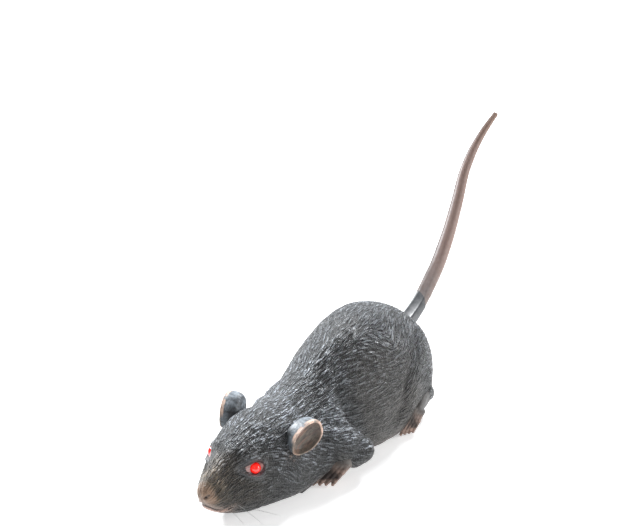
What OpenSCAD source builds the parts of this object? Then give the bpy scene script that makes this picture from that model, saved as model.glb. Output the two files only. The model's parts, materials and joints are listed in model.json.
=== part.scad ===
// Radio-controlled toy rat: moulded fur-textured skin on a two-motor chassis.
// Nose toward -Y, the rat's left side toward +X, up is +Z, wheels stand on z = 0.

/* [Body] */
// Thickness of the moulded skin
skin_wall = 2; // [1.6:0.1:2.4]
// Half width of the belly opening for the chassis, beyond the chassis edge
skin_gap = 0.4; // [0.3:0.1:0.6]
// Distance from the nose tip to the centre of the ears' openings
ear_back = 48; // [47:0.5:49]
// Distance of each ear opening's centre from the middle plane
ear_out = 22.2; // [21.8:0.2:22.6]
// Height of the ear opening's centre
ear_up = 32.7; // [32.3:0.2:33.1]
// Half width of each ear
ear_half_width = 7.4; // [6.6:0.2:8]
// Half height of each ear
ear_half_height = 9.3; // [8.4:0.3:9.9]

/* [Tail] */
// Radius of the tail where it leaves the grey root
tail_radius = 4; // [3.6:0.1:4.2]
// Radius at the tail's tip
tail_tip_radius = 0.6; // [0.4:0.1:1]

/* [Eyes] */
// Diameter of the light-emitting diode in each eye
led_d = 5; // [4.6:0.1:5]
// Radial gap round the diode
led_gap = 0.15; // [0.1:0.05:0.3]

/* [Wheels] */
// Diameter of a driven wheel over the tyre
wheel_d = 26; // [26:0.1:26.4]
// Width of a driven wheel
wheel_w = 7; // [6:0.2:7]
// Distance from the nose tip to the driven axle
wheel_back = 127.5; // [127:0.1:128]
// Diameter of the fixed steel axle
axle_d = 2.4; // [2:0.1:2.4]
// Radial running gap of shafts in their bores
run_gap = 0.05; // [0.03:0.01:0.08]

/* [Gears] */
// Gear module
gear_module = 0.5; // [0.5:0.01:0.5]
// Teeth of each pinion
pinion_teeth = 10; // [10:1:10]
// Teeth of each large gear
gear_teeth = 30; // [30:1:30]
// Pressure angle
pressure_angle = 25; // [24:1:26]
// Play between meshing teeth at the pitch circle
backlash = 0.16; // [0.14:0.01:0.2]

/* [Battery bay] */
// Diameter of an AAA cell
cell_d = 10.5; // [10.3:0.1:10.5]
// Length of an AAA cell over its cap
cell_len = 44.5; // [44:0.1:44.5]
// Spacing of the cells
cell_pitch = 11; // [10.8:0.1:11]

/* [Caster] */
// Diameter of the front caster wheel
caster_d = 9; // [8.8:0.1:9]
// Distance from the nose tip to the caster's swivel axis
caster_back = 36.2; // [36:0.1:36.4]
// Distance of the caster wheel behind its swivel axis
caster_trail = 3.5; // [3:0.1:3.5]

/* [Hidden] */

// The nose tip's y, half the length over nose and tail tip ahead of the origin.
nose_y = -145.95;

// Rows of the skin: distance from nose, half width, lowest, highest, widest height, and how square
// the section is below and above its widest height.
rows = [
    [0, 0, 19.5, 19.5, 19.5, 2, 2],
    [1.5, 3, 15.5, 23, 19, 2.2, 2],
    [4, 5.2, 11, 25.5, 18, 2.4, 2],
    [8, 7.6, 7.5, 28, 17, 2.6, 2.1],
    [14, 10.8, 5, 31, 15.5, 3, 2.1],
    [20, 13.8, 4, 34, 15, 3.6, 2.1],
    [28, 17.3, 3.6, 37.5, 15, 4.2, 2.1],
    [36, 20, 3.6, 40, 15, 4.6, 2.1],
    [44, 22, 3.6, 41, 14.5, 5.5, 2],
    [54, 23, 3.6, 39.5, 13.5, 6, 1.9],
    [66, 23, 3.6, 40, 13.5, 6, 1.8],
    [78, 24, 3.6, 43.5, 14, 7, 1.7],
    [92, 27, 3.4, 51, 15, 8, 1.7],
    [106, 29.5, 2.6, 57, 17, 9, 1.75],
    [120, 31, 2.4, 59.5, 19, 9, 1.85],
    [134, 30.5, 2.4, 58.5, 21, 8, 2],
    [146, 28.5, 3.2, 54, 22, 6, 2.1],
    [152, 25.5, 5, 50, 23, 4.4, 2.1],
    [157, 20.5, 9, 44.5, 25, 3.2, 2.1],
    [161, 12, 17, 37.5, 26.5, 2.5, 2],
    [163, 0, 27.5, 27.5, 27.5, 2, 2]];

// The tail's centre line: x, distance from the nose tip, height.
tail_line = [[0, 154, 34], [0, 160, 33], [-1.5, 168, 32.5], [-3.5, 180, 34], [-5, 190, 36.5],
    [-7, 201, 41], [-9.5, 216, 48.5], [-12.5, 231, 59.5], [-16, 245, 71.5], [-19.5, 257.5, 83.5],
    [-21, 269, 93], [-20.5, 280, 102], [-19.5, 291, 109]];
root_rows = 5;      // the first rows of the tail's line lie in the grey root
tail_taper = [1.06, 1.06, 1.06, 1.06, 1.04, 0.99, 0.88, 0.76, 0.66, 0.57, 0.46, 0.32, 0.15];
spigot_r = 2.5;     // the tail's end inside the root

// Whiskers: root on the muzzle (x, distance from nose, height), reach, and direction.
left_whiskers = [
    [11.2, 16.5, 17, 12.5, 123, 19],
    [10.6, 16, 9, 19, 144, -21],
    [6.4, 12, 8, 8.5, 118, -38],
    [8, 12.5, 13, 16, 100, -22]];
right_whiskers = [
    [7.6, 10, 20, 17, 87, 5],
    [8, 11, 17, 18, 80, -2],
    [8, 12, 14, 15, 96, -14],
    [5.8, 10, 8.8, 9, 104, -36]];
whisker_r = 0.18;

led_t = 24;                                    // the eye's place behind the nose
led_x = 11.2;
led_z = 25.8;
led_turn = 52;                                 // from straight ahead toward the side
led_tilt = 15;                                 // upward
floor_z = 3;                                   // underside of the chassis
floor_h = 1.6;
bay_t = 50.5;                                  // the battery bay's front inside face
bay_len = 48.5;
bay_x = cell_pitch + cell_d/2 + 0.75;          // half width inside
bay_wall = 1.4;
cell_z = 10;
hinge_t = 47.9;                                // battery door hinge
hinge_z = 4;
door_screw_t = bay_t + bay_len + 4;
yw = nose_y + wheel_back;
comp_y = -8;                                   // reduction pin from the wheel axle
comp_z = 19;
motor_z = 17;
centre = gear_module*(pinion_teeth + gear_teeth)/2;
motor_y = comp_y - sqrt(centre*centre - (comp_z - motor_z)*(comp_z - motor_z));
wheel_z = wheel_d/2;
plane_a = 10.5;                                // lateral start of the fast gear plane
plane_b = 13.3;                                // lateral start of the slow gear plane
side_wall = 8.5;                               // inner gearbox wall
cover_x = 16.8;                                // cover plate
cover_h = 1.5;
wheel_x = 19.5;
mid_post = [21.8, 104];
rear_post = [17.5, 146];
front_post_t = 22;

// ---------- helpers ----------

function hermite(p0, p1, p2, p3, s) =
    let (m1 = (p2 - p0)/2, m2 = (p3 - p1)/2, s2 = s*s, s3 = s2*s)
    (2*s3 - 3*s2 + 1)*p1 + (s3 - 2*s2 + s)*m1 + (3*s2 - 2*s3)*p2 + (s3 - s2)*m2;

// A list with k - 1 smooth rows put between each two rows.
function smooth(list, k) = [
    for (i = [0 : len(list) - 2], j = [0 : k - 1])
        hermite(list[max(i - 1, 0)], list[i], list[i + 1], list[min(i + 2, len(list) - 1)], j/k),
    list[len(list) - 1]];

function power(v, e) = sign(v)*pow(abs(v), e);

// One ring of the skin, moved inward by inset.
function ring(row, inset, n) =
    let (w = max(row[1] - inset, 0.05), low = row[4] - max(row[4] - row[2] - inset, 0.05),
        high = row[4] + max(row[3] - row[4] - inset, 0.05))
    [for (k = [0 : n - 1])
        let (a = -360*(k + 0.5)/n, below = sin(a) < 0, e = 2/(below ? row[5] : row[6]))
        [w*power(cos(a), e), nose_y + row[0],
            row[4] + (below ? row[4] - low : high - row[4])*power(sin(a), e)]];

// A closed solid through rings of n points each.
module rings(list, n) {
    m = len(list);
    polyhedron(points = [for (r = list) each r], faces = concat(
        [[for (k = [0 : n - 1]) k]],
        [for (i = [0 : m - 2], k = [0 : n - 1]) [i*n + k, (i + 1)*n + k, (i + 1)*n + (k + 1)%n]],
        [for (i = [0 : m - 2], k = [0 : n - 1]) [i*n + k, (i + 1)*n + (k + 1)%n, i*n + (k + 1)%n]],
        [[for (k = [n - 1 : -1 : 0]) (m - 1)*n + k]]), convexity = 6);
}

function unit(v) = v/norm(v);

// A round tube of radii r along points p; side is any direction never along the tube.
module sweep(p, r, side = [0, 0, 1], n = 8) {
    m = len(p);
    rings([for (i = [0 : m - 1])
        let (d = unit(p[min(i + 1, m - 1)] - p[max(i - 1, 0)]), u = unit(cross(side, d)), v = cross(d, u))
        [for (k = [0 : n - 1]) p[i] + (is_list(r) ? r[i] : r)*(cos(360*k/n)*u + sin(360*k/n)*v)]], n);
}

// Moves children to a distance t behind the nose tip.
module at(t, x = 0, z = 0) {
    translate([x, nose_y + t, z]) children();
}

module both_sides() {
    children();
    mirror([1, 0, 0]) children();
}

// Lies a shape drawn in X and Y across the body: local x to the rear, local y up, local z to +X.
module across(x, y = 0, z = 0) {
    translate([x, y, z]) rotate([90, 0, 90]) children();
}

// The left drive as drawn; the right drive is the same one turned half round.
module drive(right) {
    translate([0, yw, 0]) rotate([0, 0, right ? 180 : 0]) children();
}

function involute(a) = tan(a)*180/PI - a;

// Outline of a spur gear with one tooth pointing along +X.
function gear_points(teeth) =
    let (r = gear_module*teeth/2, rb = r*cos(pressure_angle), ro = r + 0.9*gear_module,
        rr = r - 1.2*gear_module, half = 90/teeth - backlash/4/r*180/PI,
        flank = [for (s = [0, 0.35, 0.7, 1]) let (q = max(rr, rb)) q + (ro - q)*s],
        angles = [for (q = flank) half + involute(pressure_angle) - involute(acos(min(rb/q, 1)))])
    [for (k = [0 : teeth - 1]) let (c = 360*k/teeth) each concat(
        [[rr*cos(c - angles[0]), rr*sin(c - angles[0])]],
        [for (i = [0 : 3]) [flank[i]*cos(c - angles[i]), flank[i]*sin(c - angles[i])]],
        [for (i = [3 : -1 : 0]) [flank[i]*cos(c + angles[i]), flank[i]*sin(c + angles[i])]],
        [[rr*cos(c + angles[0]), rr*sin(c + angles[0])]])];

module gear(teeth, h) {
    linear_extrude(h) polygon(gear_points(teeth));
}

// Direction of one gear centre from another, in the Y-Z plane.
function toward(a, b) = atan2(b[1] - a[1], b[0] - a[0]);

motor_c = [motor_y, motor_z];
comp_c = [comp_y, comp_z];
wheel_c = [0, wheel_z];

// ---------- skin ----------

module outer_body() {
    r = smooth(rows, 2);
    rings([for (i = [1 : len(r) - 2]) ring(r[i], 0, 30)], 30);
}

module inner_body() {
    r = [for (i = [3 : len(rows) - 2]) rows[i]];
    rings([for (q = r) ring(q, skin_wall, 24)], 24);
}

// Half widths of the chassis floor, with distance from the nose.
chassis_edge = [[4.2, 19], [4.2, 26], [10.4, 28.5], [14, 45.3], [20, 47.3], [20, 100.4],
    [25.4, 100.4], [25.4, 107.6], [18.4, 108.6], [18.4, 142.2], [20.8, 142.8], [20.8, 149]];

module chassis_outline(grow = 0) {
    side = [for (e = chassis_edge) [e[0] + grow, nose_y + e[1]]];
    first = [[side[0][0], side[0][1] - grow]];
    last = [[side[11][0], side[11][1] + grow]];
    half = concat(first, side, last);
    polygon(concat(half, [for (i = [len(half) - 1 : -1 : 0]) [-half[i][0], half[i][1]]]));
}

module belly_opening() {
    translate([0, 0, -1]) linear_extrude(8.6) chassis_outline(skin_gap);
    // room for the battery bay, the gearboxes, the wheels and the caster's cup
    at(74.5) translate([-19, -26, 0]) cube([38, 52, 18]);
    at(wheel_back) translate([-18.8, -24.8, 0]) cube([37.6, 43, 9]);
    at(wheel_back) across(-27.4, 0, wheel_z) cylinder(h = 54.8, r = wheel_d/2 + 1.2, $fn = 48);
    at(wheel_back) translate([-27.4, -14.2, -1]) cube([54.8, 28.4, 12]);
    at(caster_back, z = -1) cylinder(h = 12, r = 10.2, $fn = 40);
}

module upper_arm() {
    hull() {
        at(71, 16, 19) sphere(r = 9, $fn = 14);
        at(77, 22.5, 14.5) sphere(r = 8, $fn = 14);
    }
    hull() {
        at(77, 22.5, 14.5) sphere(r = 7.4, $fn = 14);
        at(82.5, 28, 11.5) sphere(r = 4.6, $fn = 12);
    }
}

module forearm() {
    hull() {
        at(82.5, 28, 11) sphere(r = 4.4, $fn = 12);
        at(74, 26.6, 9) sphere(r = 3.2, $fn = 12);
    }
    for (k = [0 : 3]) {
        hull() {
            at(73 + 0.6*k, 24.6 + 1.15*k, 8.8) sphere(r = 2, $fn = 8);
            at(64.5 + 1.5*k, 21.2 + 2.1*k, 5.4) sphere(r = 1.4, $fn = 8);
        }
        hull() {
            at(64.5 + 1.5*k, 21.2 + 2.1*k, 5.4) sphere(r = 1.4, $fn = 8);
            at(58 + 1.6*k, 18.6 + 2.5*k, 2.1) sphere(r = 0.95, $fn = 8);
        }
    }
}

module thigh() {
    hull() {
        at(140, 21, 26) sphere(r = 9.5, $fn = 14);
        at(131, 22, 15) sphere(r = 8.6, $fn = 14);
        at(145, 22, 14) sphere(r = 7, $fn = 14);
    }
}

module hind_foot() {
    hull() {
        at(147.5, 25, 10.5) sphere(r = 3.9, $fn = 12);
        at(132.5, 29.5, 10.2) sphere(r = 2.6, $fn = 14);
        at(144, 26, 15) sphere(r = 3.6, $fn = 14);
    }
    for (k = [0 : 3]) {
        hull() {
            at(130 + 1.2*k, 29.3 + 0.65*k, 10.8 - 0.7*k) sphere(r = 1.5, $fn = 8);
            at(124 + 1.6*k, 28.8 + 0.95*k, 6.4 - 0.3*k) sphere(r = 1.25, $fn = 8);
        }
        hull() {
            at(124 + 1.6*k, 28.8 + 0.95*k, 6.4 - 0.3*k) sphere(r = 1.25, $fn = 8);
            at(119 + 1.9*k, 28.6 + 1.1*k, 2.6) sphere(r = 0.9, $fn = 8);
        }
    }
}

module screw_posts() {
    at(front_post_t, z = floor_z + floor_h) cylinder(h = 9, r = 2.8, $fn = 24);
    at(2.5, z = floor_z + floor_h) translate([-0.8, 0, 4]) cube([1.6, front_post_t - 4, 5]);
    both_sides() {
        at(mid_post[1], mid_post[0], floor_z + floor_h) cylinder(h = 11, r = 3, $fn = 24);
        at(mid_post[1], mid_post[0], floor_z + floor_h) translate([1.5, -1, 3]) cube([5.4, 2, 8]);
    }
    at(rear_post[1], rear_post[0], floor_z + floor_h) cylinder(h = 9, r = 3, $fn = 24);
    at(rear_post[1], rear_post[0], floor_z + floor_h) translate([-1, 1.5, 3]) cube([2, 8, 6]);
}

module screw_places() {
    at(front_post_t) children();
    at(mid_post[1], mid_post[0]) children();
    at(mid_post[1], -mid_post[0]) children();
    at(rear_post[1], rear_post[0]) children();
}

module led_place(left) {
    mirror([left ? 0 : 1, 0, 0])
        at(led_t, led_x, led_z) rotate([0, 0, led_turn - 90]) rotate([0, 90 - led_tilt, 0]) children();
}

module whisker_place(w) {
    at(w[1], w[0], w[2]) rotate([0, 0, w[4] - 90]) rotate([0, -w[5], 0]) children();
}

module whisker_hole(w) {
    whisker_place(w) rotate([0, 90, 0])
        translate([0, 0, -1.6]) cylinder(h = 6, r = whisker_r + 0.06, $fn = 6);
}

module body_skin() {
    color("#4b4e54") difference() {
        union() {
            difference() {
                union() {
                    outer_body();
                    both_sides() {
                        upper_arm();
                        forearm();
                        thigh();
                        hind_foot();
                    }
                    // brow and lid mounds round the eyes
                    both_sides() at(led_t + 0.5, led_x - 2.4, led_z) scale([1, 1.25, 1]) sphere(r = 4.6, $fn = 20);
                }
                inner_body();
                belly_opening();
            }
            intersection() {
                screw_posts();
                outer_body();
            }
        }
        screw_places() translate([0, 0, floor_z]) cylinder(h = 9, d = 2.3, $fn = 20);
        for (left = [true, false]) led_place(left) {
            translate([0, 0, -8]) cylinder(h = 16, d = led_d + 2*led_gap, $fn = 32);
            translate([0, 0, -9]) cylinder(h = 6.2, d = 6.4, $fn = 32);
        }
        for (w = left_whiskers) whisker_hole(w);
        mirror([1, 0, 0]) for (w = right_whiskers) whisker_hole(w);
        both_sides() ear_pose() {
            ear_peg(0.05);
            ear_seat(0.04);
        }
        sweep(smooth([for (i = [0 : 2]) tail_line_at(i)], 1), [5.25, 5.1, 5], n = 16);
        // nostrils and the line of the mouth
        both_sides() at(1.9, 3.3, 19.4) rotate([-30, 0, 35]) scale([1, 1, 1.4]) sphere(r = 0.8, $fn = 12);
        at(-1, 0, 11.6) rotate([-12, 0, 0]) translate([-6, 0, 0]) cube([12, 7, 0.6]);
    }
}

// ---------- ears ----------

// The left ear opens along ear_face, and its long axis leans back along ear_lean.
ear_face = unit([0.963, -0.259, -0.063]);
ear_lean = let (v = [0.251, 0.802, 0.542]) unit(v - (v*ear_face)*ear_face);

module ear_pose() {
    x = cross(ear_lean, ear_face);
    multmatrix([[x[0], ear_lean[0], ear_face[0], ear_out],
        [x[1], ear_lean[1], ear_face[1], nose_y + ear_back],
        [x[2], ear_lean[2], ear_face[2], ear_up], [0, 0, 0, 1]]) children();
}

module ear_peg(grow = 0) {
    translate([-0.4, -2.2, -11]) cylinder(h = 4.2, r = 1.6 + grow, $fn = 20);
}

// One ring of the ear at local height q[1], drawn in to the share q[0] toward its lower end.
function ear_ring(q, grow = 0, n = 28) = [for (k = [0 : n - 1])
    let (a = -360*k/n, pinch = 1 - 0.16*pow(max(-sin(a), 0), 3))
    [(q[0]*ear_half_width + grow)*cos(a)*pinch,
        (q[0]*ear_half_height + grow)*sin(a) - 0.34*(1 - q[0])*ear_half_height, q[1]]];

ear_outside = [[1, 0.3], [0.99, -2], [0.96, -4], [0.89, -5.8], [0.76, -7], [0.5, -7.6]];
ear_inside = [[0.28, -6], [0.56, -5.5], [0.76, -4.1], [0.87, -2], [0.93, 0.5]];

// A deep ear cup opening along local z.
module ear_cup() {
    rings([for (q = concat(ear_inside, [[0.975, 0.75]], ear_outside)) ear_ring(q)], 28);
}

// The filled shape of the cup, cut out of the skin so that the ear sits in its own hollow.
module ear_seat(grow) {
    rings(concat([ear_ring([1, 0.9], grow)], [for (q = ear_outside) ear_ring([q[0], q[1] - grow], grow)]), 28);
}

module ear(left) {
    color("#6b6264") mirror([left ? 0 : 1, 0, 0]) ear_pose() {
        ear_cup();
        ear_peg();
    }
}

module ear_left() {
    ear(true);
}

module ear_right() {
    ear(false);
}

// ---------- tail ----------

function tail_line_at(i) = [tail_line[i][0], nose_y + tail_line[i][1], tail_line[i][2]];

module tail() {
    p = smooth([for (i = [0 : 12]) tail_line_at(i)], 3);
    r = smooth([for (i = [0 : 12]) i == 12 ? tail_tip_radius : tail_radius*tail_taper[i]], 3);
    last = 3*(root_rows - 1);
    color("#c9a79b") sweep([for (i = [3 : len(p) - 1]) p[i]],
        [for (i = [3 : len(p) - 1]) i <= last ? spigot_r : r[i]], n = 14);
}

module tail_root() {
    full = smooth([for (i = [0 : 12]) tail_line_at(i)], 3);
    last = 3*(root_rows - 1);
    color("#55575c") difference() {
        sweep([for (i = [0 : last]) full[i]],
            [for (i = [0 : last]) 5.1 - 0.85*i/last], n = 16);
        sweep([for (i = [2 : last + 1]) full[i]], spigot_r + 0.06, n = 14);
    }
}

// ---------- whiskers ----------

module bristles(list) {
    color("#cfcfcf") for (w = list) whisker_place(w)
        sweep([for (s = [0 : 5]) [-1.2 + (w[3] + 1.2)*s/5, 0, -0.07*s*s]],
            [for (s = [0 : 5]) whisker_r*(1 - 0.1*s)], n = 5);
}

module whiskers_left() {
    bristles(left_whiskers);
}

module whiskers_right() {
    mirror([1, 0, 0]) bristles(right_whiskers);
}

// ---------- eyes ----------

module eye_led(left) {
    color("#ff2a20") led_place(left) rotate_extrude($fn = 40) union() {
        translate([0, -5.4]) square([led_d/2 + 0.5, 1]);
        translate([0, -4.4]) square([led_d/2, 5]);
        translate([0, 0.6]) intersection() {
            circle(r = led_d/2, $fn = 40);
            square([led_d/2, led_d/2]);
        }
    }
}

module eye_led_left() {
    eye_led(true);
}

module eye_led_right() {
    eye_led(false);
}

module eye_led_legs() {
    color("#c8c8cc") for (left = [true, false], side = [-1.27, 1.27])
        led_place(left) translate([side - 0.25, -0.25, -9.4]) cube([0.5, 0.5, 4]);
}

// ---------- chassis ----------

module gearbox_profile() {
    polygon([[-24.5, 14], [-18, floor_z], [9, floor_z], [9, 26], [-24.5, 26]]);
}

module gearbox_posts(r, h) {
    for (c = [[-22, 23.6], [6.6, 23.4], [-11, 7.2]]) translate([c[0], c[1], 0]) cylinder(h = h, r = r, $fn = 24);
}

module bay_door_opening(edge, top) {
    at(bay_t - bay_wall - edge) translate([-bay_x - bay_wall - edge, 0, 0])
        cube([2*(bay_x + bay_wall + edge), bay_len + 2*bay_wall + 2*edge, top]);
    at(hinge_t) translate([-12 - edge, -0.95 - edge, 0]) cube([24 + 2*edge, 3, floor_z + floor_h + 1]);
}

module chassis_tray() {
    color("#26272a") difference() {
        union() {
            translate([0, 0, floor_z]) linear_extrude(floor_h) chassis_outline();
            // battery bay
            at(bay_t - bay_wall) translate([-bay_x - bay_wall, 0, floor_z])
                cube([2*(bay_x + bay_wall), bay_len + 2*bay_wall, 17 - floor_z]);
            // hinge blocks of the battery door
            both_sides() at(hinge_t) translate([12.3, -1.8, floor_z]) cube([2.4, 3.6, 3.4]);
            // caster cup and its swivel boss
            at(caster_back, z = floor_z) cylinder(h = 14.6 - floor_z, r = 9.6, $fn = 48);
            at(caster_back, z = 14.6) cylinder(h = 4.4, r = 3.6, $fn = 32);
            // seats of the skin screws
            screw_places() translate([0, 0, floor_z]) cylinder(h = floor_h, r = 3.4, $fn = 32);
            // gearbox walls and their posts
            for (right = [false, true]) drive(right) {
                across(side_wall) linear_extrude(cover_h) gearbox_profile();
                across(side_wall) gearbox_posts(2.1, cover_x - side_wall);
            }
            // circuit board posts
            both_sides() for (t = [60, 90]) at(t, 13.5, 17) cylinder(h = 3, r = 1.8, $fn = 24);
            // boss of the battery door's screw
            at(door_screw_t, z = floor_z) cylinder(h = 7, r = 3, $fn = 32);
            // motor cradles
            for (right = [false, true]) drive(right) translate([-9.5, motor_y - 3, floor_z])
                cube([2, 9, motor_z - 6 - floor_z]);
        }
        // inside of the bay and the recess for its door
        at(bay_t) translate([-bay_x, 0, floor_z - 1]) cube([2*bay_x, bay_len, 16.6 - floor_z]);
        translate([0, 0, floor_z - 1]) bay_door_opening(0.3, 2.25);
        both_sides() at(hinge_t, 11, hinge_z) rotate([0, 90, 0]) cylinder(h = 2.7, r = 0.65, $fn = 24);
        // recess for the door's tab, and its screw hole
        at(door_screw_t) translate([-3.5, -3.6, floor_z - 1]) cube([7, 6.6, 2.25]);
        at(door_screw_t, z = floor_z - 1) cylinder(h = 6.5, d = 2.3, $fn = 24);
        // holes for the supply wires in the bay's rear wall
        at(bay_t + bay_len - 1, 15.5, 11) cube([1.6, 4, 1.6]);
        // inside of the cup, and the swivel bore
        at(caster_back, z = floor_z - 1) cylinder(h = 14.1 - floor_z, r = 8.6, $fn = 48);
        at(caster_back, z = 12) cylinder(h = 10, d = 3 + 2*run_gap, $fn = 32);
        // skin screws
        screw_places() {
            translate([0, 0, floor_z - 1]) cylinder(h = 5, d = 2.5, $fn = 24);
            translate([0, 0, floor_z - 1]) cylinder(h = 1.8, d = 4.8, $fn = 24);
        }
        for (right = [false, true]) drive(right) {
            across(side_wall - 1, 0, wheel_z) cylinder(h = 4, d = axle_d + 0.04, $fn = 32);
            across(side_wall - 1, comp_y, comp_z) cylinder(h = 4, d = 1.5, $fn = 24);
            across(side_wall - 1, motor_y, motor_z) cylinder(h = 4, r = 3.1, $fn = 32);
            across(cover_x - 5) gearbox_posts(0.7, 6);
        }
        // slot of the power switch in the floor behind the bay
        at(120, z = floor_z - 1) translate([-4.2, -1.7, 0]) cube([8.4, 3.4, 4]);
    }
}

module gearbox_cover(right) {
    color("#303236") drive(right) difference() {
        across(cover_x) linear_extrude(cover_h) gearbox_profile();
        across(cover_x - 1, 0, wheel_z) cylinder(h = 4, d = 5 + 2*run_gap, $fn = 40);
        across(cover_x - 1, comp_y, comp_z) cylinder(h = 4, d = 1.5, $fn = 24);
        across(cover_x - 1) gearbox_posts(0.85, 4);
        translate([cover_x - 1, -30, 0]) cube([4, 60, floor_z + floor_h]);
    }
}

module gearbox_cover_left() {
    gearbox_cover(false);
}

module gearbox_cover_right() {
    gearbox_cover(true);
}

module gearbox_screws() {
    color("#b9bcc2") for (right = [false, true]) drive(right) {
        across(cover_x - 4.5) gearbox_posts(0.7, 6);
        across(cover_x + cover_h) gearbox_posts(1.5, 0.8);
    }
}

module body_screws() {
    color("#b9bcc2") screw_places() difference() {
        union() {
            translate([0, 0, floor_z + 0.1]) cylinder(h = 0.7, d = 4.4, $fn = 32);
            translate([0, 0, floor_z + 0.5]) cylinder(h = 8.5, d = 2.2, $fn = 24);
        }
        for (a = [0, 90]) rotate([0, 0, a]) translate([-1.3, -0.25, floor_z]) cube([2.6, 0.5, 0.6]);
    }
}

// ---------- battery bay ----------

module battery_door() {
    edge_back = bay_t + bay_len + bay_wall;
    color("#26272a") difference() {
        union() {
            at(hinge_t + 1.4) translate([-bay_x - bay_wall, 0, 3.05])
                cube([2*(bay_x + bay_wall), edge_back - hinge_t - 1.4, 1.1]);
            at(hinge_t) translate([-12, 0, 3.15]) cube([24, 2, 0.95]);
            at(edge_back - 0.5) translate([-3.2, 0, 3.05]) cube([6.4, door_screw_t - edge_back + 3.2, 1.1]);
            at(hinge_t, -12, hinge_z) rotate([0, 90, 0]) cylinder(h = 24, r = 0.9, $fn = 32);
            at(hinge_t, -13.4, hinge_z) rotate([0, 90, 0]) cylinder(h = 26.8, r = 0.6, $fn = 32);
        }
        // grip ribs pressed into the outer face
        for (k = [0 : 4]) at(88 + 2*k) translate([-7, 0, 2.9]) cube([14, 0.8, 0.45]);
        at(door_screw_t, z = 2) cylinder(h = 3, d = 2.4, $fn = 24);
    }
}

module battery_door_screw() {
    color("#b9bcc2") at(door_screw_t) difference() {
        union() {
            translate([0, 0, 2.35]) cylinder(h = 0.7, d = 4, $fn = 32);
            translate([0, 0, 3]) cylinder(h = 4.6, d = 2.2, $fn = 24);
        }
        for (a = [0, 90]) rotate([0, 0, a]) translate([-1.2, -0.25, 2.2]) cube([2.4, 0.5, 0.45]);
    }
}

// A cell along Y; its cap points to the front when ahead is true.
module battery_cell(k, ahead) {
    color(k == 1 ? "#2f6b3a" : "#356f40") at(bay_t + 1.4 + (ahead ? cell_len : 0), (k - 1)*cell_pitch, cell_z)
        rotate([ahead ? 90 : -90, 0, 0]) union() {
            cylinder(h = cell_len - 1, d = cell_d, $fn = 48);
            cylinder(h = cell_len, d = 3.8, $fn = 32);
        }
}

module battery_cell_1() {
    battery_cell(0, true);
}

module battery_cell_2() {
    battery_cell(1, false);
}

module battery_cell_3() {
    battery_cell(2, true);
}

module battery_springs() {
    color("#c8c8cc") for (k = [0 : 2]) {
        t = k == 1 ? bay_t + 0.5 : bay_t + bay_len - 0.5;
        s = k == 1 ? 1 : -1;
        reach = k == 1 ? 0.9 : 2.1;
        sweep([for (a = [0 : 12]) [(k - 1)*cell_pitch + 2.6*cos(60*a), nose_y + t + s*(0.2 + (reach - 0.4)*a/12),
            cell_z + 2.6*sin(60*a)]], 0.2, [0, 1, 0], 6);
    }
}

module battery_contact_plates() {
    color("#d6d6da") {
        at(bay_t) translate([-15, 0, cell_z - 4]) cube([19, 0.5, 8]);
        at(bay_t) translate([6, 0, cell_z - 4]) cube([10, 0.5, 8]);
        at(bay_t + bay_len - 0.5) translate([-16, 0, cell_z - 4]) cube([10, 0.5, 8]);
        at(bay_t + bay_len - 0.5) translate([-4, 0, cell_z - 4]) cube([19, 0.5, 8]);
    }
}

// ---------- electronics ----------

module circuit_board() {
    color("#2f6b3a") difference() {
        at(55) translate([-17, 0, 20]) cube([34, 40, 1.6]);
        both_sides() for (t = [60, 90]) at(t, 13.5, 19) cylinder(h = 4, r = 1, $fn = 24);
    }
}

module receiver_chip() {
    color("#1b1b1d") at(66) translate([-9.5, 0, 22]) cube([19, 6.4, 3.2]);
    color("#c8c8cc") for (k = [0 : 7], t = [65.2, 72.4]) at(t) translate([-9 + 2.4*k, 0, 21.6]) cube([0.5, 0.8, 2]);
}

module crystal_can() {
    color("#d6d6da") at(78, -12, 21.6) translate([-5, -1.8, 0]) cube([10, 3.6, 3.4]);
}

module capacitors() {
    color("#2b3f73") for (c = [[57.5, -6, 2.5, 5], [57.5, 1, 2, 4.4], [81, 12, 2.5, 5.4], [91.5, 0, 2.5, 5.4]])
        at(c[0] + c[2], c[1], 21.6) cylinder(h = c[3], r = c[2], $fn = 32);
}

module tuning_coil() {
    color("#d6d6da") difference() {
        at(86, 3, 21.6) translate([-3.5, -3.5, 0]) cube([7, 7, 6]);
        at(86, 3, 26) cylinder(h = 4, r = 1.6, $fn = 24);
    }
}

module drive_transistors() {
    color("#1b1b1d") for (k = [0 : 3]) at(88.5, -15 + 3.2*k, 21.6) cube([2.4, 2, 4.2]);
}

// Wires, as tubes through hand-placed points of x, distance from nose, height.
module wire(points, r = 0.45, side = [0, 0, 1], k = 3) {
    sweep(smooth([for (p = points) [p[0], nose_y + p[1], p[2]]], k), r, side, 6);
}

module antenna_wire() {
    color("#202022") wire([[-15, 58, 22.1], [-15.5, 56, 24], [-11, 52, 29], [-2, 50, 32], [8, 54, 31],
        [12, 66, 31], [11, 80, 35], [4, 92, 42], [-8, 100, 44], [-14, 110, 44], [-10, 122, 47],
        [4, 128, 49], [14, 120, 46]], 0.45, [0.2, 0.1, 1]);
}

module eye_wires() {
    color("#b3261e") for (s = [-1, 1], u = [0, 1])
        wire([[s*(3.6 + 1.4*u), 29.6 + 1.2*u, 23.6 + 0*u], [s*(2 + 1.4*u), 33, 24.5], [s*(2 + 2*u), 40, 26.5],
            [s*(4 + 3*u), 48, 25], [s*(5 + 3*u), 54, 23.6], [s*(5 + 3*u), 56, 22.1]], 0.4);
}

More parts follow.
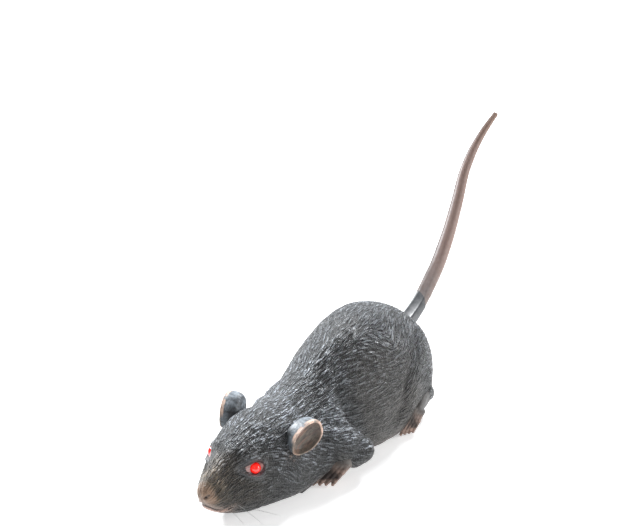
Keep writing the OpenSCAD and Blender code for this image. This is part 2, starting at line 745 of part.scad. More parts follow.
module motor_wires() {
    color("#c9a227") {
        wire([[-13.9, 105.5, 17], [-15, 104, 18], [-16, 100, 20], [-15, 95.5, 23], [-13.6, 93.5, 22.1]]);
        wire([[-13.9, 109.5, 22], [-15, 106, 24], [-14, 100, 25], [-11, 95.5, 24], [-10.5, 93.5, 22.1]]);
        wire([[13.9, 145, 22], [15.4, 143, 25.5], [15, 132, 29], [14, 118, 29], [12.5, 104, 27], [11, 96, 24],
            [10.5, 93.5, 22.1]]);
        wire([[13.9, 149, 17.5], [17, 147.5, 21], [19.5, 142, 28], [18.5, 130, 31], [17.5, 114, 30], [16, 102, 27],
            [14.2, 96, 24], [13.6, 93.5, 22.1]]);
    }
}

module battery_wires() {
    color("#b3261e") wire([[16.3, 99.6, 11.8], [16.3, 101.4, 12.2], [16.4, 101.8, 16], [16.6, 99, 21], [16.4, 96, 23.4],
        [15.8, 94, 22.3]], 0.4, [1, 0.3, 0]);
    color("#202022") wire([[-4.2, 117.3, 7.5], [-4.4, 113, 7.5], [-5.5, 106, 7.5], [-6.3, 102.3, 9], [-8, 101.1, 13],
        [-8.5, 101, 17.6], [-8, 98.6, 21], [-7, 96.2, 23.2], [-6, 94, 22.3]], 0.4, [1, 0.3, 0]);
}

module switch_housing() {
    color("#2a2b2e") difference() {
        at(120, z = floor_z + floor_h) translate([-6, -2.6, 0]) cube([12, 5.2, 4.4]);
        at(120, z = floor_z) translate([-4.6, -1.7, 0]) cube([9.2, 3.4, 4.6]);
    }
}

module switch_knob() {
    color("#e8e8e8") union() {
        at(120, -3.1, 0) translate([-0.95, -1.5, 1.9]) cube([1.9, 3, 4.6]);
        at(120, -3.1, 0) translate([-1.4, -1.5, floor_z + floor_h + 0.2]) cube([2.8, 3, 2]);
    }
}

// ---------- drive ----------

module wheel_axle() {
    color("#b9bcc2") across(-27.6, yw, wheel_z) cylinder(h = 55.2, d = axle_d, $fn = 40);
}

module axle_caps() {
    color("#b9bcc2") for (s = [-1, 1]) difference() {
        across(s*27.2 - 0.5, yw, wheel_z) cylinder(h = 1, d = 5, $fn = 32);
        across(s*27.2 - 1, yw, wheel_z) cylinder(h = 2, d = axle_d, $fn = 32);
    }
}

module motor_can(right) {
    color("#a9adb4") drive(right) difference() {
        union() {
            intersection() {
                across(-11.5, motor_y, motor_z) cylinder(h = 20, r = 7.7, $fn = 48);
                translate([-12, motor_y - 9, motor_z - 6]) cube([24, 18, 12]);
            }
            across(8.4, motor_y, motor_z) cylinder(h = 1.6, r = 3.05, $fn = 32);
        }
        across(-12, motor_y, motor_z) intersection() {
            cylinder(h = 19, r = 7.1, $fn = 48);
            translate([-8, -5.4, 0]) cube([16, 10.8, 19]);
        }
        across(0, motor_y, motor_z) cylinder(h = 12, r = 1 + run_gap, $fn = 24);
    }
}

module motor_can_left() {
    motor_can(false);
}

module motor_can_right() {
    motor_can(true);
}

module motor_end(right) {
    color("#e2ddd0") drive(right) difference() {
        union() {
            intersection() {
                across(-13.5, motor_y, motor_z) cylinder(h = 2, r = 7.6, $fn = 48);
                translate([-14, motor_y - 9, motor_z - 6]) cube([24, 18, 12]);
            }
            across(-14, motor_y, motor_z) cylinder(h = 1, r = 2.6, $fn = 32);
        }
        across(-15, motor_y, motor_z) cylinder(h = 5, r = 1 + run_gap, $fn = 24);
    }
}

module motor_end_left() {
    motor_end(false);
}

module motor_end_right() {
    motor_end(true);
}

module motor_shaft(right) {
    color("#b9bcc2") drive(right) union() {
        across(-13.9, motor_y, motor_z) cylinder(h = 27.4, r = 1, $fn = 32);
        across(-9.5, motor_y, motor_z) cylinder(h = 14, r = 4.6, $fn = 40);
    }
}

module motor_shaft_left() {
    motor_shaft(false);
}

module motor_shaft_right() {
    motor_shaft(true);
}

module motor_pinion(right) {
    color("#d9b45a") drive(right) difference() {
        across(plane_a, motor_y, motor_z) rotate([0, 0, toward(motor_c, comp_c)]) gear(pinion_teeth, 2.6);
        across(plane_a - 1, motor_y, motor_z) cylinder(h = 5, r = 1, $fn = 32);
    }
}

module motor_pinion_left() {
    motor_pinion(false);
}

module motor_pinion_right() {
    motor_pinion(true);
}

module reduction_gear(right) {
    color("#e9e6dc") drive(right) difference() {
        union() {
            across(plane_a, comp_y, comp_z) rotate([0, 0, toward(comp_c, motor_c) + 180/gear_teeth])
                gear(gear_teeth, 2.4);
            across(plane_a + 2.3, comp_y, comp_z) rotate([0, 0, toward(comp_c, wheel_c)])
                gear(pinion_teeth, plane_b + 3 - plane_a - 2.3);
        }
        across(plane_a - 1, comp_y, comp_z) cylinder(h = 9, d = 1.5 + 2*run_gap, $fn = 32);
    }
}

module reduction_gear_left() {
    reduction_gear(false);
}

module reduction_gear_right() {
    reduction_gear(true);
}

module reduction_pins() {
    color("#b9bcc2") for (right = [false, true]) drive(right)
        across(side_wall, comp_y, comp_z) cylinder(h = cover_x + cover_h - side_wall, d = 1.5, $fn = 32);
}

module wheel_hub(right) {
    color("#e9e6dc") drive(right) difference() {
        union() {
            across(plane_b, 0, wheel_z) rotate([0, 0, toward(wheel_c, comp_c) + 180/gear_teeth])
                gear(gear_teeth, 3);
            across(plane_b - 0.1, 0, wheel_z) cylinder(h = wheel_x - plane_b + 0.1, d = 5, $fn = 40);
            across(wheel_x, 0, wheel_z) cylinder(h = wheel_w, r = wheel_d/2 - 2.2, $fn = 64);
        }
        across(plane_b - 1, 0, wheel_z) cylinder(h = 20, d = axle_d + 2*run_gap, $fn = 40);
        across(wheel_x + 2.4, 0, wheel_z) difference() {
            cylinder(h = 8, r = wheel_d/2 - 3.8, $fn = 64);
            cylinder(h = 8, r = 2.8, $fn = 40);
        }
        for (k = [0 : 4]) across(wheel_x - 1, 0, wheel_z) rotate([0, 0, 72*k])
            translate([5.8, 0, 0]) cylinder(h = 8, r = 1.7, $fn = 24);
    }
}

module wheel_hub_left() {
    wheel_hub(false);
}

module wheel_hub_right() {
    wheel_hub(true);
}

module tyre(right) {
    color("#1d1d1f") drive(right) difference() {
        across(wheel_x, 0, wheel_z) rotate_extrude($fn = 64)
            polygon([[wheel_d/2 - 2.2, 0], [wheel_d/2 - 0.5, 0], [wheel_d/2, 0.6], [wheel_d/2, wheel_w - 0.6],
                [wheel_d/2 - 0.5, wheel_w], [wheel_d/2 - 2.2, wheel_w]]);
        for (x = [2.3, 4.7]) across(wheel_x + x - 0.35, 0, wheel_z) difference() {
            cylinder(h = 0.7, r = wheel_d/2 + 1, $fn = 64);
            cylinder(h = 0.7, r = wheel_d/2 - 0.5, $fn = 64);
        }
    }
}

module tyre_left() {
    tyre(false);
}

module tyre_right() {
    tyre(true);
}

// ---------- caster ----------

module caster_fork() {
    axle = [0, caster_trail, caster_d/2];
    color("#303236") at(caster_back) difference() {
        union() {
            translate([0, 0, 11.8]) cylinder(h = 1.2, r = 5, $fn = 40);
            translate([0, 0, 12.9]) cylinder(h = 7.3, d = 3, $fn = 32);
            for (s = [-1, 1]) translate([s*3.2 - 0.6, axle[1] - 2, axle[2]]) cube([1.2, 3.4, 12 - axle[2]]);
            for (s = [-1, 1]) across(s*3.2 - 0.6, axle[1], axle[2]) cylinder(h = 1.2, r = 2, $fn = 32);
        }
        across(-5, axle[1], axle[2]) cylinder(h = 10, d = 1.5, $fn = 24);
        translate([0, 0, 19.1]) difference() {
            cylinder(h = 0.6, r = 3, $fn = 32);
            cylinder(h = 0.6, r = 1.1, $fn = 32);
        }
    }
}

module caster_wheel() {
    color("#e9e6dc") at(caster_back) across(-2, caster_trail, caster_d/2) difference() {
        rotate_extrude($fn = 48) polygon([[0, 0.4], [3.9, 0.4], [4.2, 0], [caster_d/2, 0.6], [caster_d/2, 3.4],
            [4.2, 4], [3.9, 3.6], [0, 3.6]]);
        translate([0, 0, -1]) cylinder(h = 6, d = 1.5 + 2*run_gap, $fn = 32);
    }
}

module caster_pin() {
    color("#b9bcc2") at(caster_back) across(-4.1, caster_trail, caster_d/2) cylinder(h = 8.2, d = 1.5, $fn = 32);
}

module caster_clip() {
    color("#b9bcc2") at(caster_back, z = 19.1) difference() {
        cylinder(h = 0.6, r = 2.6, $fn = 32);
        translate([0, 0, -1]) cylinder(h = 3, r = 1.1, $fn = 32);
        translate([-0.9, 0, -1]) cube([1.8, 4, 3]);
    }
}

body_skin();
ear_left();
ear_right();
tail();
tail_root();
whiskers_left();
whiskers_right();
eye_led_left();
eye_led_right();
eye_led_legs();
chassis_tray();
gearbox_cover_left();
gearbox_cover_right();
gearbox_screws();
body_screws();
battery_door();
battery_door_screw();
battery_cell_1();
battery_cell_2();
battery_cell_3();
battery_springs();
battery_contact_plates();
circuit_board();
receiver_chip();
crystal_can();
capacitors();
tuning_coil();
drive_transistors();
antenna_wire();
eye_wires();
motor_wires();
battery_wires();
switch_housing();
switch_knob();
wheel_axle();
axle_caps();
motor_can_left();
motor_can_right();
motor_end_left();
motor_end_right();
motor_shaft_left();
motor_shaft_right();
motor_pinion_left();
motor_pinion_right();
reduction_gear_left();
reduction_gear_right();
reduction_pins();
wheel_hub_left();
wheel_hub_right();
tyre_left();
tyre_right();
caster_fork();
caster_wheel();
caster_pin();
caster_clip();
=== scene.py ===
import json
import math

import bpy
import bmesh
import numpy as np
from mathutils import Matrix, Vector


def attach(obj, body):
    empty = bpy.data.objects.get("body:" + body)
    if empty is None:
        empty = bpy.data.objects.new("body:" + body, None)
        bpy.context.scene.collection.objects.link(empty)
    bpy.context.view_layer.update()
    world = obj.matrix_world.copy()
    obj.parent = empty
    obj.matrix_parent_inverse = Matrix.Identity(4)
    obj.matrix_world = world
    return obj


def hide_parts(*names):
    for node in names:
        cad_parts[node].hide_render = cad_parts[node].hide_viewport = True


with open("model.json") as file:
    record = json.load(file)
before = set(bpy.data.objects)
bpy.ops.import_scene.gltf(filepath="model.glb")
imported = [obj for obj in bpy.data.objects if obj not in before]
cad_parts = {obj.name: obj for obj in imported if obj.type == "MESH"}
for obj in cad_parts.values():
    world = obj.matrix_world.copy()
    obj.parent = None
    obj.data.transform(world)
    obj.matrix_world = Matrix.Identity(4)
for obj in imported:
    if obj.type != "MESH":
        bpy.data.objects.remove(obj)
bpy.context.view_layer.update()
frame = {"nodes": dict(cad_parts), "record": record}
nodes = frame["nodes"]
scene = bpy.context.scene

NOSE = -145.95          # the nose tip's y, in millimetres; t is the distance behind it
MM = 0.001
WALL = 2.0              # the skin's thickness
DEEPEST = 1.4           # how far a moulded hollow may go into the wall
SKIN_VOXEL = 0.42
PAW_VOXEL = 0.28
FUR_HEIGHT = 0.22
EAR_HALF_WIDTH, EAR_HALF_HEIGHT = 7.4, 9.3
AXLE_T, AXLE_Z, WELL_RADIUS, WELL_HALF = 127.5, 13.0, 14.2, 27.4
CASTER_T, CUP_RADIUS = 36.2, 10.2
LED_RADIUS, LED_HOLE, FLANGE_HOLE = 2.48, 2.62, 3.2
TAIL_RADIUS = 4.0


# ---------- small maths ----------

def ramp(a, b, v):
    """0 up to a, 1 from b, smooth between."""
    s = np.clip((np.asarray(v, float) - a) / (b - a), 0, 1)
    return s * s * (3 - 2 * s)


def bell(v, width):
    return np.exp(-(np.asarray(v, float) / width) ** 2)


def blob(p, t, x, z, size):
    """1 at a place, falling off over size millimetres; both sides alike."""
    d = np.stack([np.abs(p[:, 0]) - x, p[:, 1] - NOSE - t, p[:, 2] - z], 1)
    return np.exp(-(d ** 2).sum(1) / size ** 2)


def lattice(i, j, k, seed):
    n = (i * np.uint32(374761393) + j * np.uint32(668265263) + k * np.uint32(2246822519)
         + np.uint32(seed) * np.uint32(1274126177))
    n = (n ^ (n >> np.uint32(13))) * np.uint32(1103515245)
    n = (n ^ (n >> np.uint32(15))) * np.uint32(2654435769)
    return ((n ^ (n >> np.uint32(16))) >> np.uint32(8)).astype(np.float64) / 8388608.0 - 1.0


def noise(p, cell, seed=1):
    """Smooth value noise from -1 to 1 with features of about cell millimetres."""
    q = p / cell + 1000.0
    i = np.floor(q)
    f = q - i
    u = f * f * (3 - 2 * f)
    i = i.astype(np.uint32)
    one = np.uint32(1)
    out = 0.0
    for a in (0, 1):
        wa = u[:, 0] if a else 1 - u[:, 0]
        for b in (0, 1):
            wb = u[:, 1] if b else 1 - u[:, 1]
            for c in (0, 1):
                wc = u[:, 2] if c else 1 - u[:, 2]
                corner = lattice(i[:, 0] + one * a, i[:, 1] + one * b, i[:, 2] + one * c, seed)
                out = out + wa * wb * wc * corner
    return out


def streaks(p, f, cell, length, seed):
    """Noise drawn out into strands of that length along the directions f."""
    count = max(3, int(round(length / cell * 1.3)) | 1)
    total = 0.0
    for s in np.linspace(-0.5, 0.5, count):
        total = total + noise(p + f * (s * length), cell, seed)
    v = total / count
    return v / max(v.std(), 1e-6)


def hermite(p0, p1, p2, p3, s):
    m1, m2 = (p2 - p0) / 2, (p3 - p1) / 2
    return ((2 * s ** 3 - 3 * s ** 2 + 1) * p1 + (s ** 3 - 2 * s ** 2 + s) * m1
            + (3 * s ** 2 - 2 * s ** 3) * p2 + (s ** 3 - s ** 2) * m2)


def smooth(rows, k):
    rows = np.array(rows, float)
    n = len(rows)
    out = [hermite(rows[max(i - 1, 0)], rows[i], rows[i + 1], rows[min(i + 2, n - 1)], j / k)
           for i in range(n - 1) for j in range(k)]
    return np.array(out + [rows[-1]])


# ---------- mesh helpers ----------

def new_object(name, co, faces):
    """An object from points in millimetres."""
    me = bpy.data.meshes.new(name)
    points = [(float(a) * MM, float(b) * MM, float(c) * MM) for a, b, c in co]
    me.from_pydata(points, [], [list(map(int, f)) for f in faces])
    me.update()
    me.shade_smooth()
    ob = bpy.data.objects.new(name, me)
    scene.collection.objects.link(ob)
    return ob


def apply_modifiers(ob):
    graph = bpy.context.evaluated_depsgraph_get()
    shown = ob.evaluated_get(graph)
    me = bpy.data.meshes.new_from_object(shown, preserve_all_data_layers=True, depsgraph=graph)
    old = ob.data
    ob.modifiers.clear()
    ob.data = me
    bpy.data.meshes.remove(old)
    me.name = ob.name


def face_outward(ob):
    bm = bmesh.new()
    bm.from_mesh(ob.data)
    bmesh.ops.recalc_face_normals(bm, faces=bm.faces)
    bm.to_mesh(ob.data)
    bm.free()


def get_co(me):
    co = np.empty(len(me.vertices) * 3, np.float32)
    me.vertices.foreach_get("co", co)
    return co.reshape(-1, 3).astype(float) * 1000


def set_co(me, co):
    me.vertices.foreach_set("co", (co * MM).astype(np.float32).ravel())
    me.update()


def get_normals(me):
    n = np.empty(len(me.vertices) * 3, np.float32)
    me.vertex_normals.foreach_get("vector", n)
    return n.reshape(-1, 3).astype(float)


def get_edges(me):
    e = np.empty(len(me.edges) * 2, np.int32)
    me.edges.foreach_get("vertices", e)
    return e.reshape(-1, 2)


def relax(co, edges, weight, times):
    """Moves each point toward its neighbours' mean by its weight."""
    n = len(co)
    a, b = edges[:, 0], edges[:, 1]
    deg = np.maximum(np.bincount(a, minlength=n) + np.bincount(b, minlength=n), 1)
    for _ in range(times):
        total = [np.bincount(a, co[b, k], n) + np.bincount(b, co[a, k], n) for k in range(3)]
        mean = np.stack(total, 1) / deg[:, None]
        co = co + (mean - co) * np.asarray(weight)[:, None]
    return co


def add_float(me, name, v):
    at = me.attributes.new(name, "FLOAT", "POINT")
    at.data.foreach_set("value", np.asarray(v, np.float32))


def add_vector(me, name, v):
    at = me.attributes.new(name, "FLOAT_VECTOR", "POINT")
    at.data.foreach_set("vector", np.asarray(v, np.float32).ravel())


def add_color(me, name, v):
    at = me.attributes.new(name, "FLOAT_COLOR", "POINT")
    rgba = np.concatenate([np.clip(v, 0, 1), np.ones((len(v), 1))], 1)
    at.data.foreach_set("color", rgba.astype(np.float32).ravel())


def rgb(*levels):
    return np.array(levels)


class Paint:
    """Colour laid over colour, one for each point."""

    def __init__(self, color, count):
        self.color = np.tile(color, (count, 1))

    def over(self, color, mask):
        mask = np.clip(mask, 0, 1)[:, None]
        self.color = self.color * (1 - mask) + color * mask


def ball_points(center, r, n=160):
    k = np.arange(n) + 0.5
    z = 1 - 2 * k / n
    a = k * math.pi * (3 - math.sqrt(5))
    s = np.sqrt(1 - z * z)
    return np.array(center) + r * np.stack([s * np.cos(a), s * np.sin(a), z], 1)


def hull(balls, mirror=1):
    """The convex hull of balls (t, x, z, r), as points and faces."""
    pts = np.concatenate([ball_points((b[1] * mirror, NOSE + b[0], b[2]), b[3]) for b in balls])
    bm = bmesh.new()
    for p in pts:
        bm.verts.new(p)
    bmesh.ops.convex_hull(bm, input=bm.verts)
    loose = [v for v in bm.verts if not v.link_faces]
    bmesh.ops.delete(bm, geom=loose, context="VERTS")
    bmesh.ops.recalc_face_normals(bm, faces=bm.faces)
    bm.verts.index_update()
    co = np.array([v.co[:] for v in bm.verts])
    faces = [[v.index for v in f.verts] for f in bm.faces]
    bm.free()
    return co, faces


def tube_faces(m, n):
    faces = []
    for i in range(m - 1):
        low, high = i * n, (i + 1) * n
        faces += [[low + k, low + (k + 1) % n, high + (k + 1) % n, high + k] for k in range(n)]
    return faces + [list(range(n - 1, -1, -1)), list(range((m - 1) * n, m * n))]


def closed_rings(rings):
    """Points and outward faces of a closed solid through rings of equal count."""
    rings = np.array(rings)
    m, n = rings.shape[:2]
    return rings.reshape(-1, 3), tube_faces(m, n)


def turn(n):
    """n equal steps round a circle."""
    return np.arange(n) / n * 2 * math.pi


def around(center, r, a, u, v):
    """The points at radius r and angles a round a centre, in the plane of u and v."""
    return center + np.reshape(r, (-1, 1)) * (np.cos(a)[:, None] * u + np.sin(a)[:, None] * v)


def length_along(path):
    steps = np.linalg.norm(np.diff(path, axis=0), axis=1)
    return np.concatenate([[0], np.cumsum(steps)])


def join(parts):
    co, faces, base = [], [], 0
    for c, f in parts:
        co.append(c)
        faces += [[i + base for i in q] for q in f]
        base += len(c)
    return np.concatenate(co), faces


def frames(path, across=(1.0, 0, 0)):
    """Unit tangent and two side directions along a path."""
    d = np.gradient(path, axis=0)
    d /= np.linalg.norm(d, axis=1)[:, None]
    u = np.cross(across, d)
    u /= np.linalg.norm(u, axis=1)[:, None]
    return d, u, np.cross(d, u)


def remesh(ob, voxel):
    mod = ob.modifiers.new("voxels", "REMESH")
    mod.mode = "VOXEL"
    mod.voxel_size = voxel * MM
    mod.use_smooth_shade = True
    apply_modifiers(ob)


def cut(ob, cutter, operation="DIFFERENCE"):
    mod = ob.modifiers.new("cut", "BOOLEAN")
    mod.operation = operation
    mod.solver = "MANIFOLD"
    mod.object = cutter
    apply_modifiers(ob)
    bpy.data.objects.remove(cutter)


def box_part(x0, x1, t0, t1, z0, z1):
    co = np.array([[x, NOSE + t, z] for z in (z0, z1) for t in (t0, t1) for x in (x0, x1)], float)
    sides = [[0, 2, 3, 1], [4, 5, 7, 6], [0, 1, 5, 4], [2, 6, 7, 3], [0, 4, 6, 2], [1, 3, 7, 5]]
    return co, sides


# ---------- materials ----------

class Nodes:
    """A short way to build a node tree."""

    def __init__(self, name):
        self.mat = bpy.data.materials.new(name)
        self.mat.use_nodes = True
        self.tree = self.mat.node_tree
        self.tree.nodes.clear()
        self.out = self.add("ShaderNodeOutputMaterial")
        self.bsdf = self.add("ShaderNodeBsdfPrincipled")
        self.link(self.bsdf.outputs[0], self.out.inputs[0])

    def add(self, kind, **props):
        n = self.tree.nodes.new(kind)
        for k, v in props.items():
            setattr(n, k, v)
        return n

    def link(self, a, b):
        self.tree.links.new(a, b)

    def put(self, socket, v):
        if isinstance(v, bpy.types.NodeSocket):
            self.link(v, socket)
        else:
            socket.default_value = v

    def set(self, **values):
        for k, v in values.items():
            self.put(self.bsdf.inputs[k.replace("_", " ")], v)

    def coords(self):
        return self.add("ShaderNodeTexCoord").outputs["Object"]

    def attribute(self, name, kind="Fac"):
        return self.add("ShaderNodeAttribute", attribute_name=name).outputs[kind]

    def math(self, op, a, b=0.0, clamp=False):
        n = self.add("ShaderNodeMath", operation=op, use_clamp=clamp)
        for s, v in zip(n.inputs, (a, b)):
            self.put(s, v)
        return n.outputs[0]

    def plus(self, a, b):
        return self.math("ADD", a, b)

    def times(self, a, b, clamp=False):
        return self.math("MULTIPLY", a, b, clamp)

    def vec(self, op, a, b=(0, 0, 0), scale=None):
        n = self.add("ShaderNodeVectorMath", operation=op)
        self.put(n.inputs[0], a)
        self.put(n.inputs[1], b)
        if scale is not None:
            self.put(n.inputs["Scale"], scale)
        return n.outputs[0]

    def noise(self, vector, scale, detail=2.0, rough=0.5, distortion=0.0):
        n = self.add("ShaderNodeTexNoise")
        self.put(n.inputs["Vector"], vector)
        n.inputs["Scale"].default_value = scale
        n.inputs["Detail"].default_value = detail
        n.inputs["Roughness"].default_value = rough
        n.inputs["Distortion"].default_value = distortion
        return n.outputs[0]

    def voronoi(self, vector, scale):
        n = self.add("ShaderNodeTexVoronoi")
        self.put(n.inputs["Vector"], vector)
        n.inputs["Scale"].default_value = scale
        return n.outputs["Distance"]

    def remap(self, v, a, b, c=0.0, d=1.0, eased=True):
        n = self.add("ShaderNodeMapRange", interpolation_type="SMOOTHSTEP" if eased else "LINEAR")
        self.put(n.inputs[0], v)
        for s, x in zip(n.inputs[1:5], (a, b, c, d)):
            s.default_value = x
        return n.outputs[0]

    def mix(self, fac, a, b, mode="MIX"):
        n = self.add("ShaderNodeMix", data_type="RGBA", blend_type=mode)
        self.put(n.inputs[0], fac)
        for s, v in ((n.inputs[6], a), (n.inputs[7], b)):
            if isinstance(v, (tuple, list)):
                v = (*v[:3], 1.0)
            self.put(s, v)
        return n.outputs[2]

    def bump(self, height, strength, distance):
        n = self.add("ShaderNodeBump")
        n.inputs["Strength"].default_value = strength
        n.inputs["Distance"].default_value = distance
        self.put(n.inputs["Height"], height)
        return n.outputs[0]

    def constant(self, **values):
        for k, v in values.items():
            self.bsdf.inputs[k.replace("_", " ")].default_value = v


def plain(name, color, rough, vary=0.12, grain=900.0, grit=0.0001, coat=0.0, specular=0.5):
    """Moulded plastic or metal: blotches of tone, fine grain, a little dust and rub."""
    m = Nodes(name)
    c = m.coords()
    big = m.noise(c, 90.0, 3.0, 0.55)
    fine = m.noise(c, grain, 3.0, 0.6)
    wear_and_highlight = m.remap(m.noise(c, 320.0, 4.0, 0.65, 0.4), 0.56, 0.72)
    dark = tuple(v * (1 - vary) for v in color)
    light = tuple(min(v * (1 + vary) + 0.004, 1) for v in color)
    base = m.mix(m.remap(big, 0.3, 0.7), dark, light)
    dusty = tuple(min(v * 0.8 + 0.05, 1) for v in color)
    base = m.mix(m.times(wear_and_highlight, 0.25), base, dusty)
    m.set(Base_Color=base)
    r = m.remap(fine, 0.25, 0.75, max(rough - 0.1, 0.05), min(rough + 0.1, 1), False)
    m.set(Roughness=m.plus(r, m.times(wear_and_highlight, 0.12)))
    m.constant(Specular_IOR_Level=specular)
    if coat:
        m.constant(Coat_Weight=coat, Coat_Roughness=0.15)
    m.set(Normal=m.bump(m.plus(fine, m.times(big, 0.6)), 0.35, grit))
    return m.mat


def brushed(name, color, rough, axis):
    """Drawn or rolled metal: fine lines along one axis, dull patches."""
    m = Nodes(name)
    c = m.coords()
    s = [1.0, 1.0, 1.0]
    s[axis] = 0.04
    lines = m.noise(m.vec("MULTIPLY", c, tuple(s)), 2200.0, 2.0, 0.5)
    patch = m.noise(c, 160.0, 3.0, 0.6)
    base = m.mix(m.remap(patch, 0.35, 0.7), tuple(v * 0.82 for v in color), color)
    base = m.mix(m.times(m.remap(lines, 0.5, 0.8), 0.35), base, tuple(v * 0.6 for v in color))
    m.set(Base_Color=base, Metallic=1.0)
    m.set(Roughness=m.plus(m.remap(lines, 0.2, 0.8, rough - 0.08, rough + 0.1, False),
                           m.times(m.remap(patch, 0.5, 0.75), 0.12)))
    m.set(Normal=m.bump(lines, 0.3, 0.00003))
    return m.mat


# ---------- main shapes, in millimetres ----------

# the body's sections: [t, half width, bottom, top, widest height, exponent below, exponent above]
rows = [
    [0, 0, 19.5, 19.5, 19.5, 2, 2], [1.5, 3, 15.5, 23, 19, 2.2, 2], [4, 5.2, 11, 25.5, 18, 2.4, 2],
    [8, 7.6, 7.5, 28, 17, 2.6, 2.1], [14, 10.8, 5, 31, 15.5, 3, 2.1], [20, 13.8, 4, 34, 15, 3.6, 2.1],
    [28, 17.3, 3.6, 37.5, 15, 4.2, 2.1], [36, 20, 3.6, 40, 15, 4.6, 2.1], [44, 22, 3.6, 41, 14.5, 5.5, 2],
    [54, 23, 3.6, 39.5, 13.5, 6, 1.9], [66, 23, 3.6, 40, 13.5, 6, 1.8], [78, 24, 3.6, 43.5, 14, 7, 1.7],
    [92, 27, 3.4, 51, 15, 8, 1.7], [106, 29.5, 2.6, 57, 17, 9, 1.75], [120, 31, 2.4, 59.5, 19, 9, 1.85],
    [134, 30.5, 2.4, 58.5, 21, 8, 2], [146, 28.5, 3.2, 54, 22, 6, 2.1], [152, 25.5, 5, 50, 23, 4.4, 2.1],
    [157, 20.5, 9, 44.5, 25, 3.2, 2.1], [161, 12, 17, 37.5, 26.5, 2.5, 2], [163, 0, 27.5, 27.5, 27.5, 2, 2]]

# the tail's middle line as [x, t, z], and its thickness along it; a little fuller than the design's
tail_line = [[0, 154, 34], [0, 160, 33], [-1.5, 168, 32.5], [-3.5, 180, 34], [-5, 190, 36.5],
    [-7, 201, 41], [-9.5, 216, 48.5], [-12.5, 231, 59.5], [-16, 245, 71.5], [-19.5, 257.5, 83.5],
    [-21, 269, 93], [-20.5, 280, 102], [-19.5, 291, 109]]
tail_taper = [1.06, 1.06, 1.06, 1.06, 1.04, 1.04, 0.99, 0.92, 0.83, 0.74, 0.64, 0.51, 0.36]

# rows of [x, t, z, reach, turn in degrees, tilt in degrees]
left_whiskers = [[11.2, 16.5, 17, 12.5, 123, 19], [10.6, 16, 9, 19, 144, -21],
                 [6.4, 12, 8, 8.5, 118, -38], [8, 12.5, 13, 16, 100, -22]]
right_whiskers = [[7.6, 10, 20, 17, 87, 5], [8, 11, 17, 18, 80, -2],
                  [8, 12, 14, 15, 96, -14], [5.8, 10, 8.8, 9, 104, -36]]

# half of the tray's outline, as [x, t]
chassis_edge = [[4.2, 19], [4.2, 26], [10.4, 28.5], [14, 45.3], [20, 47.3], [20, 100.4],
    [25.4, 100.4], [25.4, 107.6], [18.4, 108.6], [18.4, 142.2], [20.8, 142.8], [20.8, 149]]

# limbs as hulls of balls (t, x, z, radius)
upper_arm = [[(71, 16, 19, 9), (77, 22.5, 14.5, 8)], [(77, 22.5, 14.5, 7.4), (82.5, 28, 11.5, 4.6)]]
thigh = [[(140, 21, 26, 9.5), (131, 22, 15, 8.6), (145, 22, 14, 7)]]
forearm = [[(82.5, 28, 11, 4.4), (74, 26.6, 9, 3.2)]]
hind_foot = [[(147.5, 25, 10.5, 3.9), (132.5, 29.5, 10.2, 2.6), (144, 26, 15, 3.6)]]

LED_AT = np.array([11.2, NOSE + 24, 25.8])
LED_AXIS = np.array([0.7612, -0.5947, 0.2588])
LED_FORE = np.array([-0.5634, -0.8036, -0.1918])   # toward the nose, across the axis
LED_UP = np.array([-0.3220, 0.0, 0.9467])
MIRROR = np.array([-1.0, 1.0, 1.0])

EAR_FACE = np.array([0.963, -0.259, -0.063])
EAR_LEAN = rgb(0.251, 0.802, 0.542)
EAR_FACE /= np.linalg.norm(EAR_FACE)
EAR_LEAN = EAR_LEAN - (EAR_LEAN @ EAR_FACE) * EAR_FACE
EAR_LEAN /= np.linalg.norm(EAR_LEAN)
EAR_AXES = np.array([np.cross(EAR_LEAN, EAR_FACE), EAR_LEAN, EAR_FACE])


def ear_to_head(p, m):
    """From the ear's own axes to the head, as in the design."""
    return (p @ EAR_AXES + np.array([22.2, NOSE + 48, 32.7])) * np.array([m, 1.0, 1.0])


def ear_ring(s, h, a, wave=1.0):
    """One ring of the ear in its own axes, drawn in to the share s toward its lower end."""
    pinch = 1 - 0.16 * np.maximum(-np.sin(a), 0) ** 3
    wide = s * EAR_HALF_WIDTH * np.cos(a) * pinch * wave
    tall = EAR_HALF_HEIGHT * (s * np.sin(a) * wave - 0.34 * (1 - s))
    return np.stack([wide, tall, np.full(len(a), float(h))], 1)


# rows of [share of the rim's size, height above the rim's plane]
ear_back = smooth([[0.99, -0.2], [0.985, -2.0], [0.955, -4.0], [0.885, -5.8], [0.75, -7.0],
                   [0.5, -7.6], [0.25, -7.8], [0.02, -7.85]], 6)
ear_front = smooth([[0.02, -3.7], [0.30, -3.6], [0.55, -3.1], [0.74, -2.2], [0.85, -1.0], [0.905, 0.1]], 7)


def skin_ring(row, inset, n):
    """One section of the body, a rounded shape with its own corners above and below."""
    w = max(row[1] - inset, 0.05)
    a = -2 * math.pi * (np.arange(n) + 0.5) / n
    c, s = np.cos(a), np.sin(a)
    below = s < 0
    e = 2 / np.where(below, row[5], row[6])
    down = max(row[4] - row[2] - inset, 0.05)
    up = max(row[3] - row[4] - inset, 0.05)
    return np.stack([w * np.sign(c) * np.abs(c) ** e, np.full(n, NOSE + row[0]),
                     row[4] + np.where(below, down, up) * np.sign(s) * np.abs(s) ** e], 1)


def loft(k, n, inset=0.0, first=1, last=-1):
    """The body's outer surface, or the same moved inward. Rings run clockwise seen from the nose."""
    r = smooth(rows, k)[first:last]
    rings = [skin_ring(q, inset, n)[::-1] for q in r]
    co, faces = closed_rings(rings)
    return co, [f[::-1] for f in faces]


# ---------- the moulded skin ----------

